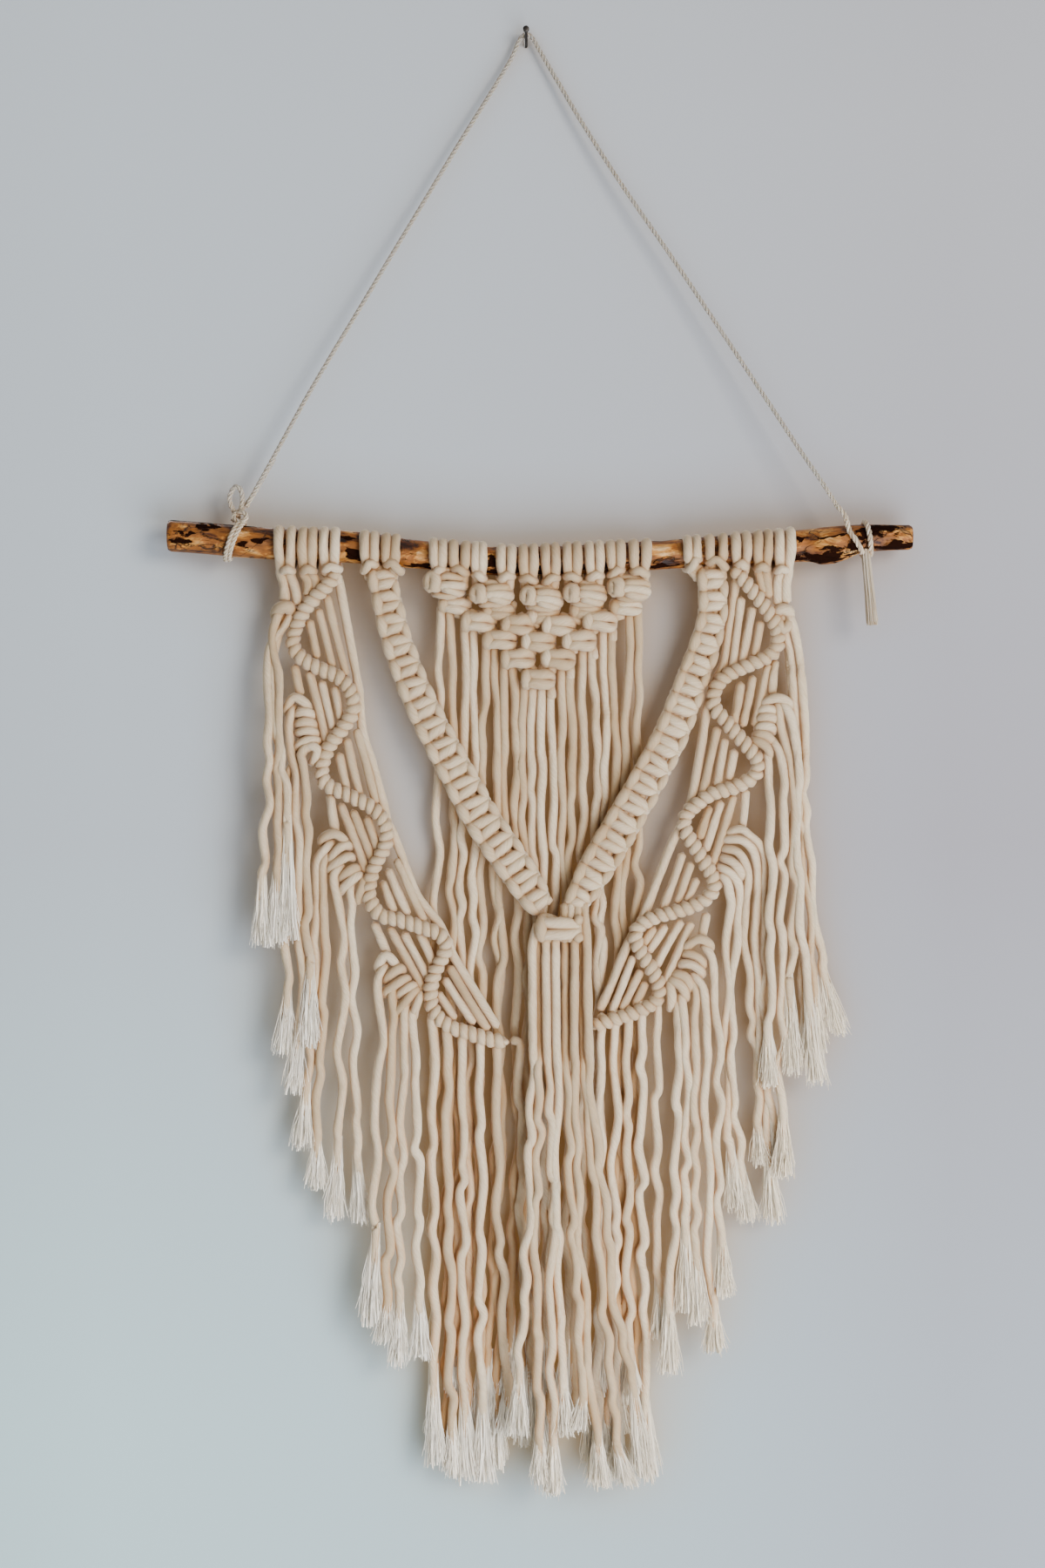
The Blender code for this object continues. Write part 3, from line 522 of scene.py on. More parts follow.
# Bands of square knots: the middle line and the half width to the outside of the cords
Band = namedtuple("Band", "x z half")
LEFT_SENNIT = [
    Band(*row)
    for row in (
        (-77.5, -284.5, 8.4), (-75, -299, 8.4), (-70, -321, 8.6), (-63, -341, 9.0), (-55, -360, 9.4),
        (-45, -379, 9.8), (-35, -398, 10.2), (-24, -418, 10.4), (-11, -437, 10.4), (1, -455, 9.8),
        (9, -467, 7.0),
    )
]
RIGHT_SENNIT = [
    Band(*row)
    for row in (
        (98.6, -284.5, 8.4), (100, -299, 8.4), (99.3, -312, 8.4), (95, -328, 8.8), (89.5, -342, 9.2),
        (79, -370, 9.8), (64, -399, 10.2), (48, -427, 10.4), (36, -447, 9.8), (25.6, -466, 7.0),
    )
]
SENNIT_KNOTS = 17
SENNIT_TOP = -283

# The two cords that tie a square knot: across in half widths, along in knots, out in millimetres and
# how thick, against a cord pressed in a knot
Stitch = namedtuple("Stitch", "across along out thick")
CROSSING = [
    Stitch(*row)
    for row in (
        (-0.98, 0.0, -1.4, 0.85), (-0.84, 0.12, 0.0, 1.0), (-0.50, 0.25, 2.1, 1.1),
        (0.0, 0.29, 3.0, 1.18), (0.50, 0.31, 2.6, 1.14), (0.86, 0.38, 0.6, 1.0),
        (0.98, 0.50, -1.2, 0.9), (0.86, 0.62, 0.6, 1.0), (0.50, 0.69, 2.6, 1.14),
        (0.0, 0.71, 3.0, 1.18), (-0.50, 0.75, 2.1, 1.1), (-0.84, 0.88, 0.0, 1.0),
    )
]
LOCKING = [
    Stitch(*row)
    for row in (
        (1.00, 0.0, 2.0, 1.0), (0.98, 0.20, 1.6, 1.0), (0.84, 0.33, -0.6, 0.95),
        (0.34, 0.38, -2.6, 0.85), (0.0, 0.24, -3.0, 0.85), (-0.40, 0.05, -2.6, 0.85),
        (-0.80, 0.06, -1.6, 0.95), (-0.86, 0.20, 2.2, 1.12), (-0.88, 0.50, 3.3, 1.2),
        (-0.86, 0.80, 2.2, 1.12), (-0.80, 0.94, -1.6, 0.95), (-0.40, 0.95, -2.6, 0.85),
        (0.0, 0.76, -3.0, 0.85), (0.34, 0.62, -2.6, 0.85), (0.84, 0.67, -0.6, 0.95),
        (0.98, 0.80, 1.6, 1.0),
    )
]

# In a knot that is open at its right the crossing cord goes behind there, and the locking one sinks
OPEN_CROSSING = [stitch._replace(out=-3.4) if stitch.across > 0.9 else stitch for stitch in CROSSING]
OPEN_LOCKING = [
    stitch._replace(out=min(stitch.out, 0.0) - 1.6) if stitch.across > 0.6 else stitch for stitch in LOCKING
]

Knot = namedtuple("Knot", "x z")
BERRIES = tuple(
    Knot(*row) for row in ((-42.7, -292.4), (-18.1, -298.0), (8.4, -300.2), (31.6, -298.0), (55.4, -295.0))
)
# A berry's half width, how far its front stands out, and its half height; the first one is taller
BERRY_WIDE = 9.6
BERRY_DEEP = 6.0
BERRY_HIGH = 5.6
FIRST_BERRY_HIGH = 6.8
# Its bars, in degrees round the ball: from its front to the right, and up from its middle
Bar = namedtuple("Bar", "latitude first last bow thick")
BERRY_BARS = (
    Bar(62, -96, 92, 16, 0.84),
    Bar(27, -12, 104, 14, 0.94),
    Bar(-8, -16, 104, 4, 0.96),
    Bar(-40, -4, 100, -14, 0.9),
    Bar(-66, -88, 84, -10, 0.84),
)
BERRY_STEPS = 8

CLOSINGS = tuple(
    Knot(*row) for row in ((-38.6, -304), (-15, -307.6), (9, -309.8), (31.6, -307), (53, -304.8))
)
NET_ROWS = (
    (Knot(-26, -313), Knot(-5, -314.5), Knot(17, -315), Knot(39, -312.5)),
    (Knot(-14.5, -322.5), Knot(6, -323.5), Knot(28, -323)),
    (Knot(-5, -332.5), Knot(16.5, -332.5)),
    (Knot(6, -343.5),),
)
# Where the inner and the outer cord leave a knot, aside of its middle
NEAR_X = 2.4
FAR_X = 7.0
JOINING = Knot(16.5, -477.0)

# Where the cords of the centre fringe hang at SPREAD_Z, how far apart the points of their way there
# are, and the outermost two at the bottom
SPREAD_Z = -381.0
SPREAD = (
    -47.2, -38.8, -33.6, -27.1, -23.4, -15.4, -11.7, -5.1, -2.3, 2.3, 7.9, 14.5, 18.7, 25.2, 31.3, 38.8,
    43.0, 49.1, 53.7, 59.8,
)
SPREAD_STEP = 13
CENTRE_LEFT = -47
CENTRE_RIGHT = 60

# The cords of the bundle: x in and below the joining knot, x and z at the end, how far inwards and
# above the knot they come out of the sennits, and how far behind the others they hang
Hanging = namedtuple("Hanging", "x low end inward above behind")
BUNDLE = (
    Hanging(3.4, -4, -748, 3.5, 5.0, 0.0),
    Hanging(6.6, 8, -772, 0.0, 0.0, 4.0),
    Hanging(10.6, 15, -779, 0.0, 0.0, 0.0),
    Hanging(15.8, 20, -748, 0.0, 0.0, 0.0),
    Hanging(21.0, 27, -744, 0.0, 0.0, 4.0),
    Hanging(26.0, 39, -775, 0.0, 0.0, 0.0),
    Hanging(30.0, 55, -774, -1.0, 14.0, 4.0),
    Hanging(32.6, 64, -772, -2.0, 16.0, 0.0),
)

# The twine's plies, how far apart the points along one are, and how far the middle of a ply is from
# the twine's, against the ply's own radius
PLIES = 3
PLY_STEP = 0.9
PLY_LOOSE = 1.02

# Twine round the branch: degrees from the front over the top, x, and how far out from the wood
Turn = namedtuple("Turn", "angle x reach")
HITCH_RING = tuple(
    Turn(*row)
    for row in (
        (112, -151.6, 2.4), (80, -152.4, 2.6), (45, -154.6, 2.2), (10, -157.2, 2.0), (-30, -159.6, 2.0),
        (-70, -161.0, 2.0), (-110, -161.2, 2.0), (-170, -160.0, 1.8), (-230, -155.0, 1.8),
        (-275, -150.8, 2.2), (-315, -152.5, 2.2), (-350, -155.0, 1.8), (-390, -157.5, 1.8),
        (-430, -159.0, 1.8), (-470, -159.0, 1.8), (-530, -157.0, 1.8), (-590, -153.0, 1.8),
        (-622, -151.0, 2.0),
    )
)
TIE_WRAPS = [
    Turn(angle, x, 1.7)
    for angle, x in (
        (28, 172.6), (0, 175.6), (-34, 178.6), (-80, 180.8), (-130, 181.0), (-180, 181.0), (-230, 181.2),
        (-270, 181.6), (-310, 182.2), (-350, 183.2), (-400, 184.2), (-440, 184.4), (-480, 183.6),
    )
]
# Twine beside the branch, as x, y and z: the hitch's knot and its short doubled end, the way from the
# hanging cord into the tie, and the tie's blunt tail
HITCH_KNOT = (
    (-158, -13.0, -258.6), (-153.0, -17.6, -254.0), (-149.6, -19.4, -256.4), (-152.4, -20.2, -260.0),
    (-156.6, -18.6, -257.0), (-154.4, -15.0, -253.4), (-150.4, -14.6, -250.0), (-146.0, -14.2, -243.6),
    (-139.6, -14.0, -232.6), (-135.0, -13.6, -224.4),
)
HITCH_LOOP = (
    (-153.6, -13.6, -257.4), (-157.6, -14.2, -252.0), (-159.2, -14.6, -246.2), (-156.6, -15.2, -240.6),
    (-153.4, -15.6, -241.4), (-152.2, -15.6, -247.0), (-153.4, -15.0, -254.6),
)
TIE_START = [(165.2, -24.1, -250.4), (167.6, -25.0, -253.4), (170.0, -25.6, -256.8)]
TIE_TAIL = (
    (181.4, -20.6, -274.0), (182.2, -21.6, -284.0), (183.2, -21.8, -294.0), (184.2, -21.6, -304.0),
    (185.2, -21.2, -315.0),
)

# The nail from the wall to its head: how far out and how thick, and how much it rises on the way
Section = namedtuple("Section", "depth radius")
NAIL_PROFILE = tuple(
    Section(*row)
    for row in (
        (0.0, 0.0), (0.0, 0.9), (11.9, 0.9), (12.0, 1.0), (12.05, 1.62), (12.2, 1.7), (12.7, 1.66),
        (12.92, 1.3), (13.0, 0.7), (13.0, 0.0),
    )
)
NAIL_RISE = 0.5
NAIL_SIDES = 24

# In metres: where the camera stands, and what the lights are turned to
CAMERA_PLACE = (-0.0019, -1.5155, -0.3997)
LIGHTS_AIM = (0.0, -0.02, -0.40)


# ---------------------------------------------------------------- curves in space


def branch_at(x):
    """Height and radius of the branch at x."""
    for here, there in zip(BRANCH, BRANCH[1:]):
        if x <= there.x:
            t = (x - here.x) / (there.x - here.x)
            return here.z + (there.z - here.z) * t, here.radius + (there.radius - here.radius) * t
    return BRANCH[-1].z, BRANCH[-1].radius


def push(z):
    """How far forward of its layer a panel hangs at height z."""
    t = min(max((z - PUSH_TO) / (PUSH_FROM - PUSH_TO), 0.0), 1.0)
    return TOP_PUSH * t * t * (3 - 2 * t)


def smooth_through(points, spans):
    """Points of a Catmull-Rom curve through the given ones, spans of them to each stretch."""
    count = len(points)
    line = []
    for i in range(count - 1):
        before, here, there, after = (
            points[max(i - 1, 0)], points[i], points[i + 1], points[min(i + 2, count - 1)],
        )
        for step in range(spans):
            t = step / spans
            line.append(tuple(
                0.5 * (2 * b + (c - a) * t + (2 * a - 5 * b + 4 * c - d) * t * t
                       + (3 * b - a - 3 * c + d) * t ** 3)
                for a, b, c, d in zip(before, here, there, after)
            ))
    line.append(tuple(points[-1]))
    return line


def even_line(points):
    """A smooth line through points and the running length at each of its points."""
    line = smooth_through(points, LINE_STEPS)
    lengths = [0.0]
    for here, there in zip(line, line[1:]):
        lengths.append(lengths[-1] + math.dist(here[:2], there[:2]))
    return line, lengths


def at_length(line, lengths, along):
    """The point at a running length, and the direction of the line there, both in the x-z plane."""
    along_in = min(max(along, 0.0), lengths[-1] - 1e-6)
    low, high = 0, len(lengths) - 1
    while high - low > 1:
        middle = (low + high) // 2
        if lengths[middle] <= along_in:
            low = middle
        else:
            high = middle
    t = (along - lengths[low]) / (lengths[low + 1] - lengths[low])
    here, there = line[low], line[low + 1]
    point = tuple(a + (b - a) * t for a, b in zip(here, there))
    size = math.dist(here[:2], there[:2])
    return point, ((there[0] - here[0]) / size, (there[1] - here[1]) / size)


# ---------------------------------------------------------------- nodes


def linear(code):
    """An sRGB hex colour as linear red, green, blue and alpha."""
    values = [int(code[i:i + 2], 16) / 255 for i in (0, 2, 4)]
    return (*[v / 12.92 if v <= 0.04045 else ((v + 0.055) / 1.055) ** 2.4 for v in values], 1.0)


def per_metre(grain):
    """How many grains of a size in millimetres lie in a metre, which is the scale of their noise."""
    return 1 / (grain * MM)


def add(tree, kind, inputs=(), stops=(), captures=(), **settings):
    """One node with its settings and links. inputs gives a socket a value, a hex colour, an output or a
    node, which stands for its first output in use. stops are a colour ramp's positions and colours, and
    captures name the numbers that a Capture Attribute node keeps."""
    made = tree.nodes.new(kind)
    for key, value in settings.items():
        setattr(made, key, value)
    for label in captures:
        made.capture_items.new("FLOAT", label)
    if stops:
        elements = made.color_ramp.elements
        while len(elements) < len(stops):
            elements.new(1.0)
        for element, (position, code) in zip(elements, stops):
            element.position = position
            element.color = linear(code)
    for key, value in dict(inputs).items():
        socket = made.inputs[key]
        if isinstance(value, bpy.types.Node):
            value = next(output for output in value.outputs if output.enabled)
        if isinstance(value, bpy.types.NodeSocket):
            tree.links.new(value, socket)
        else:
            socket.default_value = linear(value) if socket.type == "RGBA" else value
    return made


def new_tree(name, numbers):
    """A geometry tree with a geometry in and out, a number for each label and a material."""
    tree = bpy.data.node_groups.new(name, "GeometryNodeTree")
    for label, kind in (("Geometry", "Geometry"), *numbers, ("Material", "Material")):
        tree.interface.new_socket(label, in_out="INPUT", socket_type="NodeSocket" + kind)
    tree.interface.new_socket("Geometry", in_out="OUTPUT", socket_type="NodeSocketGeometry")
    return tree, add(tree, "NodeGroupInput").outputs


def finish_tree(tree, geometry, material):
    real = add(tree, "GeometryNodeRealizeInstances", {"Geometry": geometry})
    painted = add(tree, "GeometryNodeSetMaterial", {"Geometry": real, "Material": material})
    add(tree, "NodeGroupOutput", {0: painted})
    return tree


def cord_tree():
    """Round cords along splines: ends rounded, thickness a little uneven, a UV map that follows the lay."""
    tree, given = new_tree("laid_cord", (
        ("Ring spacing", "Float"), ("Sides", "Int"), ("Flatness", "Float"), ("Unevenness", "Float"),
        ("Seed", "Int"),
    ))
    soft = add(tree, "GeometryNodeCurveSplineType", {"Curve": given["Geometry"]}, spline_type="CATMULL_ROM")
    fine = add(tree, "GeometryNodeSetSplineResolution", {"Geometry": soft, "Resolution": CURVE_STEPS})
    rings = add(tree, "GeometryNodeResampleCurve",
                {"Curve": fine, "Length": given["Ring spacing"]}, mode="LENGTH")

    # Within one radius of an end the thickness follows a ball, so that the end is a dome
    place = add(tree, "GeometryNodeSplineParameter")
    length = place.outputs["Length"]
    whole = add(tree, "GeometryNodeSplineLength")
    size = add(tree, "GeometryNodeInputRadius")
    left = add(tree, "ShaderNodeMath", {0: whole, 1: length}, operation="SUBTRACT")
    near = add(tree, "ShaderNodeMath", {0: length, 1: left}, operation="MINIMUM")
    share = add(tree, "ShaderNodeMath", {0: near, 1: size}, operation="DIVIDE", use_clamp=True)
    rest = add(tree, "ShaderNodeMath", {0: 1.0, 1: share}, operation="SUBTRACT")
    square = add(tree, "ShaderNodeMath", {0: rest, 1: rest}, operation="MULTIPLY")
    under = add(tree, "ShaderNodeMath", {0: 1.0, 1: square}, operation="SUBTRACT")
    dome = add(tree, "ShaderNodeMath", {0: under}, operation="SQRT")
    domed = add(tree, "ShaderNodeMath", {0: size, 1: dome}, operation="MULTIPLY")

    # Soft cotton is a few hundredths thicker here and thinner there, and it rolls as it lies
    spot = add(tree, "GeometryNodeInputPosition")
    lumps = add(tree, "ShaderNodeTexNoise", {"Vector": spot, "Scale": per_metre(LUMP), "Detail": 1.0})
    swell = add(tree, "ShaderNodeMapRange",
                {"Value": lumps, "From Min": 0.25, "From Max": 0.75, "To Min": 0.94, "To Max": 1.06})
    uneven = add(tree, "ShaderNodeMix", {"Factor": given["Unevenness"], 2: 1.0, 3: swell},
                 data_type="FLOAT")
    thick = add(tree, "ShaderNodeMath", {0: domed, 1: uneven}, operation="MULTIPLY")
    sized = add(tree, "GeometryNodeSetCurveRadius", {"Curve": rings, "Radius": thick})
    sway = add(tree, "ShaderNodeTexNoise", {"Vector": spot, "Scale": per_metre(SWAY), "Detail": 0.0})
    roll = add(tree, "ShaderNodeMath", {0: sway, 1: MOST_ROLL}, operation="MULTIPLY")
    rolled = add(tree, "GeometryNodeSetCurveTilt", {"Curve": sized, "Tilt": roll})

    # What the cotton material reads: where along the cord, where round it, and each cord's own shade
    along = add(tree, "GeometryNodeCaptureAttribute",
                {"Geometry": rolled, "along": length}, captures=("along",))
    number = add(tree, "GeometryNodeInputIndex")
    chance = add(tree, "FunctionNodeRandomValue", {"ID": number, "Seed": given["Seed"]}, data_type="FLOAT")
    shade = add(tree, "GeometryNodeCaptureAttribute",
                {"Geometry": along, "shade": chance}, captures=("shade",), domain="CURVE")
    corners = add(tree, "ShaderNodeMath", {0: given["Sides"], 1: 1.0}, operation="ADD")
    ring = add(tree, "GeometryNodeCurveArc",
               {"Resolution": corners, "Radius": 1.0, "Sweep Angle": 2 * math.pi}, mode="RADIUS")
    wide = add(tree, "ShaderNodeMath", {0: 1.0, 1: given["Flatness"]}, operation="ADD")
    slim = add(tree, "ShaderNodeMath", {0: 1.0, 1: given["Flatness"]}, operation="SUBTRACT")
    shape = add(tree, "ShaderNodeCombineXYZ", {"X": wide, "Y": slim, "Z": 1.0})
    oval = add(tree, "GeometryNodeTransform", {"Geometry": ring, "Scale": shape})
    turn = add(tree, "GeometryNodeSplineParameter")
    around = add(tree, "GeometryNodeCaptureAttribute",
                 {"Geometry": oval, "around": turn.outputs["Factor"]}, captures=("around",))

    tube = add(tree, "GeometryNodeCurveToMesh",
               {"Curve": shade, "Profile Curve": around, "Scale": add(tree, "GeometryNodeInputRadius")})
    flat = add(tree, "ShaderNodeCombineXYZ", {"X": around.outputs["around"], "Y": along.outputs["along"]})
    mapped = add(tree, "GeometryNodeStoreNamedAttribute",
                 {"Geometry": tube, "Name": "lay", "Value": flat}, data_type="FLOAT2", domain="CORNER")
    shaded = add(tree, "GeometryNodeStoreNamedAttribute",
                 {"Geometry": mapped, "Name": "shade", "Value": shade.outputs["shade"]},
                 data_type="FLOAT", domain="POINT")
    closed = add(tree, "GeometryNodeMergeByDistance", {"Geometry": shaded, "Distance": SEAM_GAP})
    smooth = add(tree, "GeometryNodeSetShadeSmooth", {"Geometry": closed})
    return finish_tree(tree, smooth, given["Material"])


def brush_tree():
    """Brushed-out cord ends: each guide spline becomes a bunch of fibres that spread towards their tips."""
    tree, given = new_tree("brushed_end", (
        ("Fibres", "Int"), ("Fibre radius", "Float"), ("Spread", "Float"), ("Waviness", "Float"),
        ("Shortest", "Float"), ("Tip", "Float"), ("Seed", "Int"),
    ))
    many = add(tree, "GeometryNodeDuplicateElements",
               {"Geometry": given["Geometry"], "Amount": given["Fibres"]}, domain="SPLINE")
    number = add(tree, "GeometryNodeInputIndex")
    chances = {}
    for k, label in enumerate(("turn", "reach", "cut", "shade")):
        seed = add(tree, "ShaderNodeMath", {0: given["Seed"], 1: float(k)}, operation="ADD")
        chances[label] = add(tree, "FunctionNodeRandomValue", {"ID": number, "Seed": seed},
                             data_type="FLOAT")
    kept = add(tree, "GeometryNodeCaptureAttribute",
               {"Geometry": many, **chances}, captures=tuple(chances), domain="CURVE")
    cut = add(tree, "ShaderNodeMapRange",
              {"Value": kept.outputs["cut"], "To Min": given["Shortest"], "To Max": 1.0})
    short = add(tree, "GeometryNodeTrimCurve", {"Curve": kept, 3: cut}, mode="FACTOR")
    even = add(tree, "GeometryNodeResampleCurve", {"Curve": short, "Count": FIBRE_RINGS}, mode="COUNT")

    # Aside: each fibre keeps to its own side of the cord and leans out more the nearer to its tip
    place = add(tree, "GeometryNodeSplineParameter")
    down = place.outputs["Factor"]
    size = add(tree, "GeometryNodeInputRadius")
    angle = add(tree, "ShaderNodeMath", {0: kept.outputs["turn"], 1: 2 * math.pi}, operation="MULTIPLY")
    across = add(tree, "ShaderNodeMath", {0: angle}, operation="COSINE")
    ahead = add(tree, "ShaderNodeMath", {0: angle}, operation="SINE")
    out = add(tree, "ShaderNodeMath", {0: kept.outputs["reach"], 1: 0.6}, operation="POWER")
    late = add(tree, "ShaderNodeMath", {0: down, 1: 1.4}, operation="POWER")
    more = add(tree, "ShaderNodeMath", {0: late, 1: given["Spread"]}, operation="MULTIPLY")
    grow = add(tree, "ShaderNodeMath", {0: more, 1: 0.8}, operation="ADD")
    reach = add(tree, "ShaderNodeMath", {0: out, 1: grow}, operation="MULTIPLY")
    far = add(tree, "ShaderNodeMath", {0: reach, 1: size}, operation="MULTIPLY")
    flat = add(tree, "ShaderNodeMath", {0: ahead, 1: 0.65}, operation="MULTIPLY")
    ring = add(tree, "ShaderNodeCombineXYZ", {"X": across, "Y": flat})
    aside = add(tree, "ShaderNodeVectorMath", {0: ring, "Scale": far}, operation="SCALE")

    # Waves: fibres on different sides of the cord read the noise far apart, so they part
    spot = add(tree, "GeometryNodeInputPosition")
    apart = add(tree, "ShaderNodeVectorMath", {0: ring, 1: (5.0, 5.0, 5.0)}, operation="MULTIPLY")
    where = add(tree, "ShaderNodeVectorMath", {0: spot, 1: apart}, operation="ADD")
    curl = add(tree, "ShaderNodeTexNoise", {"Vector": where, "Scale": per_metre(WAVE), "Detail": 1.0})
    centred = add(tree, "ShaderNodeVectorMath",
                  {0: curl.outputs["Color"], 1: (0.5, 0.5, 0.5)}, operation="SUBTRACT")
    wave = add(tree, "ShaderNodeMath", {0: down, 1: given["Waviness"]}, operation="MULTIPLY")
    waved = add(tree, "ShaderNodeVectorMath", {0: centred, "Scale": wave}, operation="SCALE")
    moved = add(tree, "ShaderNodeVectorMath", {0: aside, 1: waved}, operation="ADD")
    placed = add(tree, "GeometryNodeSetPosition", {"Geometry": even, "Offset": moved})

    thin = add(tree, "ShaderNodeMapRange", {"Value": down, "To Min": 1.0, "To Max": given["Tip"]})
    fibre = add(tree, "ShaderNodeMath", {0: thin, 1: given["Fibre radius"]}, operation="MULTIPLY")
    sized = add(tree, "GeometryNodeSetCurveRadius", {"Curve": placed, "Radius": fibre})
    tipped = add(tree, "GeometryNodeCaptureAttribute", {"Geometry": sized, "tip": down}, captures=("tip",))
    section = add(tree, "GeometryNodeCurvePrimitiveCircle", {"Resolution": 3, "Radius": 1.0}, mode="RADIUS")
    tube = add(tree, "GeometryNodeCurveToMesh",
               {"Curve": tipped, "Profile Curve": section, "Fill Caps": True,
                "Scale": add(tree, "GeometryNodeInputRadius")})
    shaded = add(tree, "GeometryNodeStoreNamedAttribute",
                 {"Geometry": tube, "Name": "shade", "Value": kept.outputs["shade"]},
                 data_type="FLOAT", domain="POINT")
    marked = add(tree, "GeometryNodeStoreNamedAttribute",
                 {"Geometry": shaded, "Name": "tip", "Value": tipped.outputs["tip"]},
                 data_type="FLOAT", domain="POINT")
    smooth = add(tree, "GeometryNodeSetShadeSmooth", {"Geometry": marked})
    return finish_tree(tree, smooth, given["Material"])


def run_tree(name, tree, cords, **values):
    """One plain mesh object from cords, each a list of points in millimetres and a radius or radii.
    values fill the tree's inputs by their labels."""
    curve = bpy.data.curves.new(name, "CURVE")
    curve.dimensions = "3D"
    for points, radius in cords:
        spline = curve.splines.new("POLY")
        spline.points.add(len(points) - 1)
        radii = radius if isinstance(radius, (list, tuple)) else [radius] * len(points)
        for point, place, size in zip(spline.points, points, radii):
            point.co = (*[value * MM for value in place], 1.0)
            point.radius = size * MM
    source = bpy.data.objects.new(name + " line", curve)
    bpy.context.scene.collection.objects.link(source)
    modifier = source.modifiers.new("nodes", "NODES")
    modifier.node_group = tree
    for item in tree.interface.items_tree:
        label = item.name.lower().replace(" ", "_")
        if item.in_out == "INPUT" and label in values:
            modifier[item.identifier] = values[label]
    mesh = bpy.data.meshes.new_from_object(source.evaluated_get(bpy.context.evaluated_depsgraph_get()))
    mesh.name = name
    bpy.data.objects.remove(source)
    piece = bpy.data.objects.new(name, mesh)
    bpy.context.scene.collection.objects.link(piece)
    return piece


def lay(name, cords, material="cotton", slot="cord_cotton", spacing=2.2, sides=10, flatness=0.05,
        unevenness=1.0, node=None):
    """The laid cords that stand for a CAD node: the one that is called name, unless node says another."""
    piece = run_tree(
        name if node else name + "_cords", CORD_TREE, cords, ring_spacing=spacing * MM, sides=sides,
        flatness=flatness, unevenness=unevenness, seed=len(name), material=MATERIALS[material],
    )
    dress(piece, slot, node or name)
    return piece


def dress(piece, slot, *nodes):
    """Puts the piece under its body and hides the CAD nodes that it stands for. slot is not used."""
    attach(piece, BODY)
    if nodes:
        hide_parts(*nodes)


# ---------------------------------------------------------------- materials


def new_material(name, settings):
    """A material, its tree and its shader, whose sockets get the values in settings."""
    made = bpy.data.materials.new(name)
    made.use_nodes = True
    shader = made.node_tree.nodes["Principled BSDF"]
    for label, value in settings.items():
        shader.inputs[label].default_value = value
    return made, made.node_tree, shader


